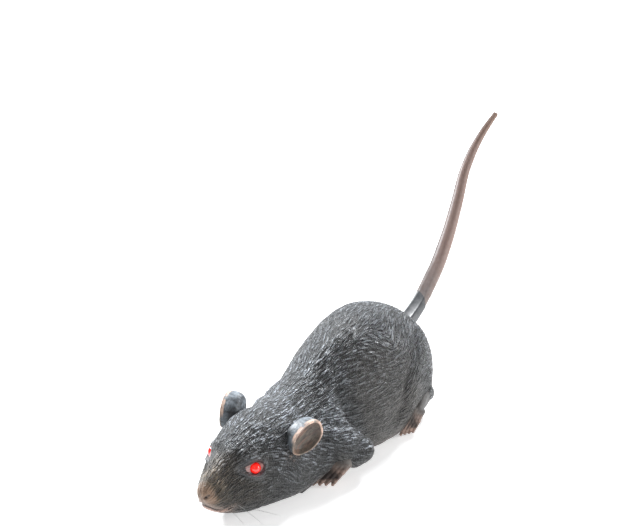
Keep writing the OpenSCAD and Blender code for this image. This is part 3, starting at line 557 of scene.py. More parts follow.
def eye_place(p):
    """Place across the nearer eye: a toward the nose, b up, c outward from the diode's seat."""
    q = p * np.where(p[:, :1] < 0, MIRROR, 1.0) - LED_AT
    return q @ LED_FORE, q @ LED_UP, q @ LED_AXIS


def almond(a, b):
    """Signed distance from the lid line, negative inside the eye's opening."""
    mid = np.where(a > 0, 0.27 * a, 0.0)
    fore = np.clip(1 - np.abs(a / 6.3) ** 1.5, 0, 1)
    rear = np.sqrt(np.clip(1 - (a / 3.9) ** 2, 0, 1))
    half = 2.85 * np.where(a > 0, fore, rear)
    off = np.abs(b - mid) - half
    beyond = np.maximum(np.maximum(a - 6.3, -3.9 - a), 0)
    return np.where(beyond > 0, np.hypot(np.maximum(off, 0), beyond), off * np.where(off < 0, 1.0, 0.85))


# where the shoulder ends and the haunch begins, as t over z
fold_z = [4, 8, 11, 13, 16, 19, 22, 25, 28, 33, 40]
fold_t = [84, 86.5, 88, 88.8, 88.2, 85.6, 83, 81, 80, 80.8, 81]
haunch_z = [8, 13, 17, 20, 25, 31, 35, 38, 41, 46]
haunch_t = [108, 111.5, 114.5, 116.5, 118, 121.3, 124.7, 129, 133.5, 141]


def fold_distance(t, z):
    return t - np.interp(z, fold_z, fold_t)


def haunch_distance(t, z):
    return (t - np.interp(z, haunch_z, haunch_t)) * 0.8


def mouth_height(t):
    """The lip line's z at the distance t."""
    return np.interp(t, [0, 0.9, 1.7, 3, 5, 7, 9.5, 12], [17.2, 15.6, 14.4, 13.0, 11.4, 10.8, 11.2, 12.4])


def flow_direction(p, n):
    """Which way the moulded fur lies."""
    t, x, z = p[:, 1] - NOSE, p[:, 0], p[:, 2]
    ax = np.abs(x)
    side = np.sign(x + 1e-9)
    f = np.zeros_like(p)
    f[:, 1] = 1.0
    f[:, 0] += side * 0.35 * ramp(4, 14, ax) * (1 - ramp(20, 50, t))
    f[:, 2] += 0.30 * (1 - ramp(10, 34, t))
    f[:, 2] -= 0.45 * ramp(10, 24, ax) * ramp(40, 60, t) * (1 - ramp(76, 92, t))
    # behind the eye and under the ear it turns downward
    f[:, 2] -= 0.9 * blob(p, 40, 20, 20, 11)
    # a whorl on each haunch
    c = np.stack([side * 21, np.full(len(p), NOSE + 121.0), np.full(len(p), 47.0)], 1)
    d = p - c
    r = np.linalg.norm(d, axis=1)
    turn = np.cross(n, d) * side[:, None] / (r[:, None] + 1.5)
    f += turn * (1.15 * np.exp(-(r / 17.0) ** 2))[:, None]
    # it runs across the crease in front of the thigh
    hc = haunch_distance(t, z)
    across = bell(hc - 3, 6) * ramp(14, 22, z) * (1 - ramp(40, 46, z)) * ramp(14, 22, ax)
    f[:, 2] += 0.9 * across
    f += 0.28 * np.stack([noise(p, 8.0, 31), noise(p, 8.0, 32), noise(p, 8.0, 33)], 1)
    f -= n * (f * n).sum(1)[:, None]
    return f / (np.linalg.norm(f, axis=1)[:, None] + 1e-9)


def fur_amount(p):
    """How deep the fur is moulded, 0 to 1."""
    t, x, z = p[:, 1] - NOSE, p[:, 0], p[:, 2]
    ax = np.abs(x)
    v = 0.10 + 0.30 * ramp(1.5, 5, t) + 0.60 * ramp(4, 14, t)
    v *= 1 - 0.45 * ramp(14, 24, ax) * ramp(84, 94, t) * (1 - ramp(112, 120, t))
    v *= 1 - 0.5 * (1 - ramp(6, 16, z)) * ramp(30, 40, t)
    v *= 1 - 0.35 * ramp(150, 160, t)
    a, b, c = eye_place(p)
    d = almond(a, b)
    v *= np.where(np.abs(c) < 7, ramp(0.6, 5.0, d), 1.0)
    v *= 1 - 0.75 * blob(p, 3, 0, 11, 6)
    return v


def skin_form():
    """Body, limbs' upper parts and brows as one closed surface, finer at the nose and eyes."""
    parts = [loft(4, 96)]
    for m in (1, -1):
        parts += [hull(h, m) for h in upper_arm + thigh]
        # elbow and hock: the fur runs a little way on to the smooth limbs
        parts.append(hull([(82.5, 28, 11.2, 4.7), (77, 27.6, 9.4, 4.2)], m))
        parts.append(hull([(149, 24.5, 10, 4.4), (141, 26.2, 12, 4.2), (144, 26, 15, 4.0)], m))
        # brow and lids
        k = np.array([m * 8.8, NOSE + 24.5, 25.8])
        c, f = hull([(0, 0, 0, 4.6)])
        c = (c - np.array([0, NOSE, 0])) * np.array([1, 1.25, 1]) + k
        parts.append((c, f))
    ob = new_object("skin", *join(parts))
    remesh(ob, SKIN_VOXEL)
    bm = bmesh.new()
    bm.from_mesh(ob.data)
    eyes = [Vector((s * 11.0, NOSE + 22, 26.2)) * MM for s in (1, -1)]

    def fine(v):
        return v.co.y < (NOSE + 11) * MM or min((v.co - e).length for e in eyes) < 8.5 * MM
    picked = {v for v in bm.verts if v.co.y < (NOSE + 34) * MM and fine(v)}
    edges = [e for e in bm.edges if e.verts[0] in picked and e.verts[1] in picked]
    bmesh.ops.subdivide_edges(bm, edges=edges, cuts=1, use_grid_fill=True)
    bm.to_mesh(ob.data)
    bm.free()
    # soften the joins of limbs and body, then the whole surface a little
    me = ob.data
    co, edges = get_co(me), get_edges(me)
    joins = (blob(co, 66, 22, 22, 12) + blob(co, 78, 22, 24, 11) + blob(co, 84, 24, 12, 8)
             + blob(co, 128, 27, 30, 13) + blob(co, 120, 28, 14, 9) + blob(co, 146, 24, 28, 12)
             + blob(co, 24, 9, 25, 8))
    co = relax(co, edges, np.clip(joins, 0, 1) * 0.6, 14)
    set_co(me, relax(co, edges, np.full(len(co), 0.4), 4))
    return ob


def muscle_relief(co):
    """Shoulder, thigh, cheek, neck and the unevenness of hand modelling, in millimetres outward."""
    t, ax, z = co[:, 1] - NOSE, np.abs(co[:, 0]), co[:, 2]
    lift = np.zeros(len(co))

    # shoulder: a full bulge that ends in a step in front of the waist
    d = fold_distance(t, z)
    reach = ramp(9, 17, ax) * (1 - 0.75 * ramp(24, 36, z)) * (1 - ramp(38, 46, z))
    bulge = 2.6 * (1 - ramp(-2.8, 1.2, d)) * bell(np.minimum(d, 0), 8)
    lift += reach * (bulge - 2.1 * ramp(-1.6, 1.8, d) * bell(np.maximum(d, 0), 6))
    # thigh: a valley in front of the haunch and fullness behind it
    d = haunch_distance(t, z)
    reach = ramp(14, 22, ax) * ramp(8, 14, z) * (1 - ramp(42, 50, z))
    lift += reach * (-1.3 * bell(d, 2.4) + 0.8 * bell(d - 8, 6))
    lift += -0.7 * blob(co, 110, 29, 17, 7)
    # cheek, neck, ear mound, temple, muzzle
    lift += 1.2 * blob(co, 38, 19, 15, 9) - 1.9 * blob(co, 58, 23, 20, 8) - 1.0 * blob(co, 61, 14, 35, 9)
    lift += 0.5 * blob(co, 12, 8, 15, 5) + 0.9 * blob(co, 23, 8.5, 32.5, 3.6)
    lift += 0.9 * blob(co, 71, 17, 34, 9) + 1.1 * blob(co, 47, 16.5, 33.5, 5)
    # room for the hind foot
    lift -= 1.6 * blob(co, 124, 30.5, 6, 6) + 1.2 * blob(co, 133, 30.5, 9, 6)
    lift -= 1.5 * blob(co, 17, 8.5, 28, 4.5) + 1.5 * blob(co, 11, 6, 26.5, 4.5)
    return lift + 0.30 * noise(co, 13.0, 3) + 0.16 * noise(co, 5.5, 4)


def face_relief(co):
    """Lids, nose pad, nostrils, the split lip and the mouth, in millimetres outward."""
    t, ax, z = co[:, 1] - NOSE, np.abs(co[:, 0]), co[:, 2]
    a, b, c = eye_place(co)
    dist = almond(a, b)
    here = bell(np.maximum(np.abs(c) - 4, 0), 2) * (t < 36)
    lid = 0.85 * bell(dist - 1.1, 0.85) + 0.35 * bell(dist - 2.6, 1.2) * ramp(0, 2, b)
    inside = -0.55 * (1 - ramp(-0.5, 0.25, dist)) - 0.25 * bell(dist, 0.35)
    lift = here * (lid + inside)
    lift += here * 0.35 * bell(dist + 1.4, 0.9) * ramp(1.5, 4, a)
    side = np.stack([ax, t, z], 1)
    low = 1 - ramp(24, 26, z)
    lift += 0.60 * bell(np.linalg.norm(side - [1.6, 1.0, 21.0], axis=1), 2.3)
    lift -= 0.45 * bell(t - 5.4, 1.2) * ramp(18, 20, z) * low
    lift -= 0.35 * bell(t - 4.6, 0.9) * ramp(17, 20, z) * low
    nostril = np.stack([(ax - 1.9) / 0.9, (t - 1.2) / 1.3, (z - 19.0 - 0.45 * (ax - 2.0)) / 0.75], 1)
    lift -= 1.4 * np.exp(-(nostril ** 2).sum(1))
    hook = np.stack([(ax - 3.1) / 0.5, (t - 2.2) / 1.2, (z - 20.3) / 0.45], 1)
    lift -= 0.6 * np.exp(-(hook ** 2).sum(1))
    lift -= 0.5 * bell(ax, 0.4) * ramp(14.8, 15.6, z) * (1 - ramp(18.6, 20.4, z)) * (t < 5)
    mouth = mouth_height(t)
    m = (z - mouth) * 0.85
    front = (1 - ramp(8.5, 12, t))
    return lift + front * (-0.95 * bell(m, 0.42) + 0.32 * bell(m - 0.85, 0.55) + 0.36 * bell(m + 0.95, 0.6))


def build_skin():
    ob = skin_form()
    me = ob.data
    co, n = get_co(me), get_normals(me)
    lift = muscle_relief(co) + face_relief(co)
    # behind the solid nose, hollows stay shallower than the wall
    walled = (lift < 0) & (co[:, 1] - NOSE >= 8)
    lift = np.where(walled, -DEEPEST * np.tanh(-lift / DEEPEST), lift)
    base = co + n * lift[:, None]
    set_co(me, base)
    n = get_normals(me)
    f = flow_direction(base, n)
    depth = fur_amount(base)
    one = streaks(base, f, 0.55, 2.6, 11)
    two = streaks(base, f, 1.05, 4.5, 12)
    tuft = noise(base, 3.0, 13)
    relief = np.clip(0.85 * np.tanh(1.2 * one) + 0.35 * np.tanh(two) + 0.15 * tuft, -1.5, 1.5)
    bumpy = blob(base, 84, 26, 20, 7) + blob(base, 76, 24, 28, 7) + 0.7 * blob(base, 62, 22, 16, 8)
    relief += np.clip(bumpy, 0, 1) * 0.5 * noise(base, 1.2, 14)
    set_co(me, base + n * (FUR_HEIGHT * depth * relief)[:, None])
    add_vector(me, "rest", base * MM)
    add_float(me, "relief", relief)
    add_vector(me, "flow", f)
    add_float(me, "fur", depth)

    cut(ob, hollow())
    return ob


def belly_opening():
    """A prism a little wider than the tray."""
    half = [[e[0] + 0.4, e[1]] for e in chassis_edge]
    half = [[half[0][0], half[0][1] - 0.4]] + half + [[half[-1][0], half[-1][1] + 0.4]]
    outline = half + [[-p[0], p[1]] for p in half[::-1]]
    k = len(outline)
    points = [[p[0], NOSE + p[1], h] for h in (-1.0, 7.6) for p in outline]
    sides = [[i, (i + 1) % k, (i + 1) % k + k, i + k] for i in range(k)]
    return np.array(points), sides + [list(range(k - 1, -1, -1)), list(range(k, 2 * k))]


def led_socket(m):
    rings = [around(LED_AT + h * LED_AXIS, r, m * turn(64), LED_FORE, LED_UP) * np.array([m, 1.0, 1.0])
             for h, r in ((-9.0, FLANGE_HOLE), (-2.8, FLANGE_HOLE), (-2.79, LED_HOLE), (8.0, LED_HOLE))]
    return closed_rings(rings)


def ear_socket(m):
    profile = [(0.3, -7.6), (0.5, -7.35), (0.74, -6.7), (0.86, -5.6), (0.93, -3.9), (0.955, -2.0),
               (0.955, 1.2)]
    return closed_rings([ear_to_head(ear_ring(q, h, turn(48)), m) for q, h in profile])


ACROSS, ALONG, UPWARD = np.eye(3)


def hollow():
    """All that is taken out of the skin: its inside, the belly, wheel wells, caster cup and sockets."""
    inner = new_object("inner", *loft(1, 40, WALL, 3, -1))
    wells = [around(np.array([x, NOSE + AXLE_T, AXLE_Z]), WELL_RADIUS, turn(72), ALONG, UPWARD)
             for x in (-WELL_HALF, WELL_HALF)]
    cup = [around(np.array([0, NOSE + CASTER_T, h]), CUP_RADIUS, turn(56), ACROSS, ALONG)
           for h in (-1.0, 11.0)]
    pieces = [belly_opening(),
              box_part(-19, 19, 48.5, 100.5, 0, 18), box_part(-18.8, 18.8, 102.7, 145.7, 0, 9),
              closed_rings(wells),
              box_part(-WELL_HALF, WELL_HALF, AXLE_T - WELL_RADIUS, AXLE_T + WELL_RADIUS, -1, 11),
              closed_rings(cup), led_socket(1), led_socket(-1), ear_socket(1), ear_socket(-1)]
    for i, shape in enumerate(pieces):
        piece = new_object("cutter%d" % i, *shape)
        face_outward(piece)
        cut(inner, piece, "UNION")
    return inner


def paint_skin(ob):
    """Colour over the skin from where each point is."""
    me = ob.data
    co = get_co(me)
    n = get_normals(me)
    t, x, z = co[:, 1] - NOSE, co[:, 0], co[:, 2]
    ax = np.abs(x)
    charcoal = rgb(0.050, 0.054, 0.056)
    warm = rgb(0.092, 0.086, 0.078)
    slate = rgb(0.082, 0.090, 0.100)
    umber = rgb(0.066, 0.050, 0.030)
    tan = rgb(0.30, 0.180, 0.110)
    blush = rgb(0.50, 0.37, 0.31)
    lip = rgb(0.62, 0.40, 0.34)
    pink = rgb(0.66, 0.40, 0.37)
    dark = rgb(0.018, 0.016, 0.015)

    paint = Paint(charcoal, len(co))
    over = paint.over
    patch = noise(co, 11.0, 41)
    over(slate, 0.40 * ramp(-0.1, 0.7, patch))
    over(warm, (0.75 + 0.25 * patch) * ramp(12, 22, ax) * ramp(82, 96, t) * (1 - ramp(124, 136, t)))
    over(warm, 0.5 * ramp(-0.2, 0.6, noise(co, 17.0, 42)) * ramp(86, 100, t))
    # painted shade: the lower cheek is darkened
    over(charcoal * 0.6, 0.6 * blob(co, 40, 20, 16, 12))
    # painted highlight: upward-facing surfaces of the back and rump are lightened
    over(slate * 1.2, 0.6 * ramp(0.3, 0.9, n[:, 2]) * ramp(100, 130, t))
    # muzzle and nose
    over(umber, 0.9 * (1 - ramp(7, 19, t + 0.25 * (z - 18))) * ramp(9, 15, z))
    over(umber, 0.35 * blob(co, 24, 10, 15, 10) + 0.5 * blob(co, 26, 13, 28, 4.5))
    # painted highlight: the muzzle's upward-facing bridge is lightened to beige over the brown
    bridge = ramp(0.15, 0.75, n[:, 2]) * ramp(18, 22, z)
    over(rgb(0.300, 0.235, 0.170), 0.80 * (1 - ramp(10, 22, t)) * bridge)
    over(tan, 0.85 * (1 - ramp(2.4, 6.5, t + 0.4 * np.maximum(z - 21, 0))) * ramp(14, 17, z))
    # painted shade: the sideways-facing sides of the muzzle are darkened
    cheek = ramp(0.3, 0.7, np.abs(n[:, 0])) * ramp(10, 13, z)
    over(umber * 0.45, 0.9 * ramp(7, 11, t) * (1 - ramp(20, 28, t)) * cheek)
    # painted shade in the crease behind the nose pad
    over(umber * 0.75, 0.75 * bell(t - 5.8, 1.6) * ramp(17.5, 19.5, z) * (1 - ramp(22.5, 24.5, z)))
    mouth = mouth_height(t)
    under = 1 - ramp(-0.5, 1.2, z - mouth)
    over(blush, (0.75 + 0.35 * noise(co, 1.6, 43)) * under * (1 - ramp(6, 16, t)))
    over(blush, 0.55 * (1 - ramp(1.0, 3.0, np.abs(z - mouth))) * (1 - ramp(8, 13, t)))
    over(lip, 0.9 * bell(z - mouth + 0.9, 0.7) * (1 - ramp(6.5, 10, t)))
    over(dark, 0.95 * bell(z - mouth, 0.45) * (1 - ramp(5.0, 9, t)))
    nostril = np.stack([(ax - 1.9) / 0.9, (t - 1.2) / 1.4, (z - 19.0 - 0.45 * (ax - 2.0)) / 0.75], 1)
    hook = np.stack([(ax - 3.0) / 0.6, (t - 2.1) / 1.3, (z - 20.2) / 0.5], 1)
    over(dark, 1.1 * np.exp(-(nostril ** 2).sum(1)) + 0.8 * np.exp(-(hook ** 2).sum(1)))
    # eyes
    a, b, q = eye_place(co)
    d = almond(a, b)
    here = (np.abs(q) < 5) & (t < 36)
    over(slate * 0.8, np.where(here, 0.6 * bell(d - 1.2, 1.6), 0))
    # pale pink inside the lids: partly the eye's own pink paint, partly the diode's red glow painted on
    over(pink, np.where(here, 1.0 * (1 - ramp(-0.7, -0.2, d)) * (1 - ramp(3.9, 4.7, a)), 0))
    # painted shade in the lid groove, strongest under the upper lid
    over(dark, np.where(here, 0.75 * bell(d + 0.05, 0.35) * ramp(-0.8, 0.8, b), 0))
    over(dark, np.where(here, 0.95 * (1 - ramp(-0.3, 0.5, d)) * ramp(3.9, 4.6, a), 0))
    # root of the ear with painted shadow at its join, painted shadow in the creases, painted highlights on
    # the shoulder, lighter grey patches
    over(rgb(0.26, 0.18, 0.135), 0.75 * blob(co, 41, 19.5, 26.5, 3.2) * ramp(-0.3, 0.3, noise(co, 1.1, 44)))
    # painted shadow where the ear joins the head
    over(dark * 2, 0.7 * blob(co, 43.5, 17.5, 30.5, 2.6))
    d = fold_distance(t, z)
    # painted highlight on the top and side of the shoulder
    over(slate * 1.8, 0.7 * blob(co, 74, 20, 29, 9) + 0.5 * blob(co, 80, 25, 18, 7))
    # painted highlight: a pale grey band with broken edges along the shoulder's crest just in front of the
    # fold
    wear_and_highlight = ramp(14, 20, ax) * (1 - ramp(26, 32, z)) * ramp(-0.1, 0.4, noise(co, 1.3, 45))
    over(rgb(0.20, 0.20, 0.20), 0.35 * bell(d + 1.6, 1.6) * wear_and_highlight)
    over(dark * 3, 0.45 * bell(d - 1.2, 1.4) * ramp(14, 20, ax) * (1 - ramp(26, 36, z)))
    d = haunch_distance(t, z)
    over(dark * 3, 0.40 * bell(d, 2.2) * ramp(18, 24, ax) * ramp(14, 20, z) * (1 - ramp(38, 46, z)))
    over(rgb(0.20, 0.19, 0.18), 0.5 * blob(co, 152, 26, 22, 6) + 0.4 * blob(co, 70, 26, 10, 5))
    # brownish belly tint, lightened near the floor as painted bounce light
    over(rgb(0.16, 0.13, 0.11), 0.5 * (1 - ramp(4, 9, z)) * ramp(30, 50, t))
    add_color(me, "tone", paint.color)
    # where pale dry-brushed paint catches, with painted highlight: most on upward-facing surfaces
    silver_paint_and_highlight = ramp(-0.1, 0.75, n[:, 2]) * (0.35 + 0.65 * ramp(18, 34, t)) * (1 - 0.45 * ramp(70, 110, t))
    silver_paint_and_highlight *= 1 - 0.5 * ramp(12, 22, ax) * ramp(76, 90, t)
    silver_paint_and_highlight += 0.5 * bell(t - 86, 5) * bell(z - 18, 7) * ramp(20, 24, ax) + 0.35 * blob(co, 60, 21, 18, 10)
    silver_paint_and_highlight *= 0.7 + 0.5 * noise(co, 7.0, 46)
    silver_paint_and_highlight *= ramp(6, 16, t) * ramp(7, 14, z)
    add_float(me, "silver_paint_and_highlight", np.clip(silver_paint_and_highlight, 0, 1))


def skin_material():
    m = Nodes("skin_vinyl_paint")
    rest = m.attribute("rest", "Vector")
    flow = m.attribute("flow", "Vector")
    fur = m.attribute("fur")
    relief = m.attribute("relief")
    tone = m.attribute("tone", "Color")
    silver_paint_and_highlight = m.attribute("silver_paint_and_highlight")

    def strands(scale, length, count, seed):
        total = None
        for i in range(count):
            s = (i / (count - 1) - 0.5) * length * MM
            v = m.vec("ADD", rest, m.vec("SCALE", flow, scale=s))
            v = m.vec("ADD", v, (seed * 0.37, seed * 0.11, 0.0))
            q = m.noise(v, scale, 0.0)
            total = q if total is None else m.plus(total, q)
        return m.times(total, 1.0 / count)

    thin = strands(2050.0, 1.6, 4, 1)
    wide = strands(1300.0, 2.4, 4, 2)
    fine = m.noise(rest, 3200.0, 2.0, 0.6)
    ridge = m.remap(thin, 0.44, 0.56)
    broad = m.remap(wide, 0.43, 0.57)
    up = m.remap(relief, -0.9, 1.1)
    high = m.plus(m.times(up, 0.26), m.plus(m.times(ridge, 0.44), m.times(broad, 0.30)))
    groove = m.remap(high, 0.22, 0.56)
    # painted shade: the fur's grooves are darkened where there is fur
    depth = m.times(m.math("SUBTRACT", 1.0, groove), m.remap(fur, 0.05, 0.6, 0.15, 0.90))
    base = m.mix(depth, tone, m.mix(1.0, tone, (0.13, 0.135, 0.14), "MULTIPLY"))
    # pale dry-brushed paint on the crests, with painted highlight where they face up
    crest = m.times(m.remap(high, 0.60, 0.84), m.times(silver_paint_and_highlight, 1.05), clamp=True)
    base = m.mix(crest, base, (0.44, 0.48, 0.54))
    # painted highlight: the fur's ridges are lightened
    light = m.times(m.remap(high, 0.58, 0.88), m.remap(fur, 0.2, 0.8, 0.15, 0.55))
    base = m.mix(light, base, m.mix(1.0, base, (2.0, 1.97, 1.94), "MULTIPLY"))
    speck = m.remap(m.voronoi(rest, 210.0), 0.10, 0.04)
    base = m.mix(m.times(speck, 0.35), base, (0.30, 0.28, 0.26))
    m.set(Base_Color=base)
    m.set(Roughness=m.remap(high, 0.1, 0.9, 0.56, 0.30, False))
    m.constant(Specular_IOR_Level=0.65, Sheen_Weight=0.12, Sheen_Roughness=0.5)
    h = m.plus(m.times(m.remap(thin, 0.36, 0.64), 0.5), m.times(m.remap(wide, 0.38, 0.62), 0.6))
    h = m.plus(m.times(h, m.remap(fur, 0.0, 0.8, 0.25, 1.0)), m.times(fine, 0.12))
    m.set(Normal=m.bump(h, 1.0, 0.0014))
    return m.mat


skin = build_skin()
paint_skin(skin)
skin.data.materials.clear()
skin.data.materials.append(skin_material())
skin.data.set_sharp_from_angle(angle=math.radians(75))
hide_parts("body_skin")
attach(skin, "chassis")


# ---------- paws ----------

def paw(name, palm, toes, m):
    """A smooth painted limb with its toes, as one remeshed form with moulded folds."""
    parts = [hull(h, m) for h in palm]
    for toe in toes:
        for one, two in zip(toe[:-1], toe[1:]):
            parts.append(hull([one, two], m))
    ob = new_object(name, *join(parts))
    remesh(ob, PAW_VOXEL)
    me = ob.data
    co, edges = get_co(me), get_edges(me)
    co = relax(co, edges, np.full(len(co), 0.5), 3)
    set_co(me, co)
    n = get_normals(me)
    t = co[:, 1] - NOSE
    # toe lines run on over the back of the foot; joints pucker across the toes
    tips = np.array([[q[-1][0], q[-1][1] * m, q[-1][2]] for q in toes])
    roots = np.array([[q[0][0], q[0][1] * m, q[0][2]] for q in toes])
    along = np.zeros(len(co))
    best = np.full(len(co), 1e9)
    for tip, root in zip(tips, roots):
        d = root - tip
        length = np.linalg.norm(d)
        q = np.stack([t, co[:, 0], co[:, 2]], 1) - tip
        s = q @ d / length
        off = np.linalg.norm(q - np.outer(s, d / length), axis=1)
        close = off < best
        best = np.where(close, off, best)
        along = np.where(close, s / length, along)
    on_toe = (1 - ramp(1.3, 2.4, best)) * (1 - ramp(0.85, 1.15, along))
    pucker = np.sin(along * 34.0) * on_toe
    grit = 0.05 * noise(co, 0.9, 51) * on_toe + 0.10 * noise(co, 3.0, 52)
    lift = -0.10 * np.maximum(pucker, 0) ** 3 + grit
    lift += 0.16 * bell(along - 0.52, 0.09) * on_toe
    co = co + n * lift[:, None]
    set_co(me, co)
    fore = toes[0][0][0] < 100
    grey = rgb(0.20, 0.185, 0.172) if fore else rgb(0.110, 0.108, 0.106)
    flesh = rgb(0.40, 0.270, 0.220)
    brown = rgb(0.110, 0.072, 0.050)
    pale = rgb(0.34, 0.32, 0.31)
    dark = rgb(0.016, 0.013, 0.012)
    paint = Paint(grey, len(co))
    over = paint.over
    front = tips[:, 0].mean()
    over(brown, 0.35 * (1 - ramp(front + 5, front + 13, t)))
    over(flesh, 0.9 * on_toe * (1 - ramp(0.5, 1.0, along)) * (0.85 + 0.4 * noise(co, 1.6, 53)))
    over(brown, 0.45 * on_toe * ramp(0.2, 0.9, np.sin(along * 34.0)))
    # painted shade in the gaps between the toes
    between = ramp(1.02, 1.45, best) * (1 - ramp(0.9, 1.5, along)) * (1 - ramp(front + 4, front + 8, t))
    over(dark, 0.9 * between)
    # painted highlight: the upward-facing back of the foot is paler, most on the forepaws
    back = ramp(front + 8, front + 13, t) * (1 - ramp(front + 17, front + 24, t)) * ramp(0.1, 0.7, n[:, 2])
    over(pale, (0.85 if fore else 0.15) * ramp(-0.2, 0.5, noise(co, 2.4, 54)) * back)
    # painted shade on the undersides nearest the floor
    over(dark * 3, 0.5 * (1 - ramp(0.4, 1.6, co[:, 2])))
    add_color(me, "tone", paint.color)
    add_float(me, "toe", on_toe)
    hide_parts("body_skin")
    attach(ob, "chassis")
    return ob


def paw_material():
    m = Nodes("paw_paint")
    c = m.coords()
    tone = m.attribute("tone", "Color")
    toe = m.attribute("toe")
    fine = m.noise(c, 2400.0, 3.0, 0.6)
    scales = m.voronoi(c, 1500.0)
    patch = m.noise(c, 500.0, 3.0, 0.6)
    base = m.mix(m.remap(patch, 0.4, 0.7, 0.0, 0.5), tone, m.mix(1.0, tone, (0.55, 0.5, 0.48), "MULTIPLY"))
    base = m.mix(m.times(m.remap(fine, 0.55, 0.75), 0.35), base,
                 m.mix(1.0, base, (1.7, 1.6, 1.55), "MULTIPLY"))
    m.set(Base_Color=base, Roughness=m.remap(fine, 0.3, 0.7, 0.42, 0.58, False))
    h = m.plus(m.times(fine, 0.5), m.times(scales, m.plus(m.times(toe, 0.7), 0.25)))
    m.set(Normal=m.bump(h, 0.5, 0.0003))
    return m.mat


paw_paint = paw_material()
for m, side in ((1, "left"), (-1, "right")):
    toes = [[(73 + 0.6 * k, 24.6 + 1.15 * k, 8.8, 1.95), (67.4 + 1.3 * k, 22.3 + 1.85 * k, 7.0, 1.35),
             (62 + 1.55 * k, 20.2 + 2.25 * k, 4.4, 1.2), (58 + 1.6 * k, 18.6 + 2.5 * k, 1.7, 0.85)]
            for k in range(4)]
    ob = paw("forepaw_" + side, forearm, toes, m)
    ob.data.materials.append(paw_paint)
    toes = [[(130 + 1.2 * k, 29.3 + 0.75 * k, 10.8 - 0.7 * k, 1.5),
             (124 + 1.6 * k, 28.9 + 1.05 * k, 6.6 - 0.3 * k, 1.15),
             (121 + 1.8 * k, 28.7 + 1.15 * k, 4.2 - 0.1 * k, 1.0),
             (118.6 + 1.9 * k, 28.5 + 1.2 * k, 1.8, 0.8)]
            for k in range(4)]
    ob = paw("hindpaw_" + side, hind_foot, toes, m)
    ob.data.materials.append(paw_paint)


# ---------- ears ----------

def build_ear(name, m):
    n = 132
    a = turn(n)
    # inner face from the middle out, over the rolled rim, and down the back
    rim = [(0.948 + 0.050 * math.sin(q), 0.28 + 0.42 * math.cos(q)) for q in np.linspace(-1.0, 2.0, 9)]
    rings, kind, radial = [], [], []
    low = np.maximum(-np.sin(a), 0)
    inner, profile = len(ear_front), [*ear_front, *rim, *ear_back]
    for j, (s, h) in enumerate(profile):
        ring = ear_ring(s, h, a, 1 + 0.012 * np.sin(3 * a + 0.6) + 0.008 * np.sin(7 * a + 2.0))
        x, y, z = ring.T
        if j < inner:
            # soft ribs, and a fold low down inside
            z = z + 0.20 * np.sin(5 * a + 1.0) * ramp(0.3, 0.6, s) * (1 - ramp(0.8, 0.95, s)) * low
            z = z + 0.7 * bell(np.hypot(x + 3.2, y + 5.4), 1.9) * (1 - ramp(0.84, 0.92, s))
        z = z + 0.22 * s * np.sin(2 * a + 0.4) + 0.16 * s * s * np.sin(3 * a)
        # a nick in the rim
        z = z - 0.35 * bell(a - 2.0, 0.09) * ramp(0.85, 1.0, s)
        rings.append(np.stack([x, y, z], 1))
        kind.append(0 if j < inner else 1 if j < inner + len(rim) else 2)
        radial.append(s)
    rings = np.array(rings)
    co, faces = closed_rings(rings)
    local = co.copy()
    ang = np.tile(a, len(rings))
    kind = np.repeat(kind, n)
    radial = np.repeat(radial, n)
    co = ear_to_head(co, m)
    ob = new_object(name, co, faces)
    face_outward(ob)
    ob.data.shade_smooth()
    me = ob.data
    nn = get_normals(me)
    long = local * np.array([1.0, 0.22, 0.6])
    lift = 0.05 * noise(local, 1.3, 61) + 0.03 * noise(local, 0.6, 62)
    lift += np.where(kind == 0, 0.07 * noise(long, 0.5, 63), 0.05 * noise(long, 0.6, 64))
    set_co(me, co + nn * lift[:, None])
    olive = rgb(0.170, 0.142, 0.118)
    rust = rgb(0.260, 0.150, 0.115)
    steel = rgb(0.165, 0.188, 0.210)
    cream = rgb(0.92, 0.66, 0.53)
    edge = rgb(0.30, 0.27, 0.235)
    dark = rgb(0.020, 0.020, 0.020)
    paint = Paint(olive, len(co))
    over = paint.over
    over(rust, 0.7 * (kind == 0) * ramp(-0.15, 0.55, noise(long, 1.1, 65)) * (1 - ramp(0.7, 0.95, radial)))
    over(olive * 0.45, 0.6 * (kind == 0) * ramp(0.0, 0.5, noise(long, 0.8, 69)))
    over(edge, 0.9 * (kind == 1))
    over(steel, 1.0 * (kind == 2))
    strand = noise(local * np.array([1.0, 1.0, 0.2]), 0.75, 67)
    # pale strands on the ear's back: partly lighter paint on the moulded hair, partly painted highlight
    # kept off the lower edge
    over(steel * 2.2, 0.75 * (kind == 2) * ramp(0.0, 0.45, strand) * ramp(-0.9, 0.2, np.sin(ang)))
    over(dark * 2, 0.5 * (kind == 2) * ramp(0.1, 0.5, -strand))
    # the worn rim: broad over the top, a thin line down the rear
    chip = ramp(-0.35, -0.05, noise(local, 1.9, 66) + 0.22)
    top = ramp(-0.25, 0.15, np.sin(ang - 0.65))
    lip_side = ((kind == 1) & (local[:, 2] > 0.0)) | ((kind == 2) & (local[:, 2] > -1.2))
    over(cream, 0.98 * chip * top * lip_side)
    over(cream * 0.6, 0.7 * (kind == 1) * ramp(-0.5, 0.2, noise(local, 1.4, 68)))
    notch = bell(np.hypot(local[:, 0] - 0.6, local[:, 1] + 8.6), 2.3)
    over(rgb(0.42, 0.285, 0.215), 0.85 * (kind < 2) * notch)
    # painted shadow on the lower back of the ear near its root
    under = ramp(0.35, 0.95, -np.sin(ang + 0.5)) * (1 - ramp(-4.4, -2.0, local[:, 2]))
    over(dark, 0.85 * (kind == 2) * under)
    add_color(me, "tone", paint.color)
    add_vector(me, "local", local * MM)
    me.materials.append(ear_paint)
    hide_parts(name)
    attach(ob, "chassis")
    return ob


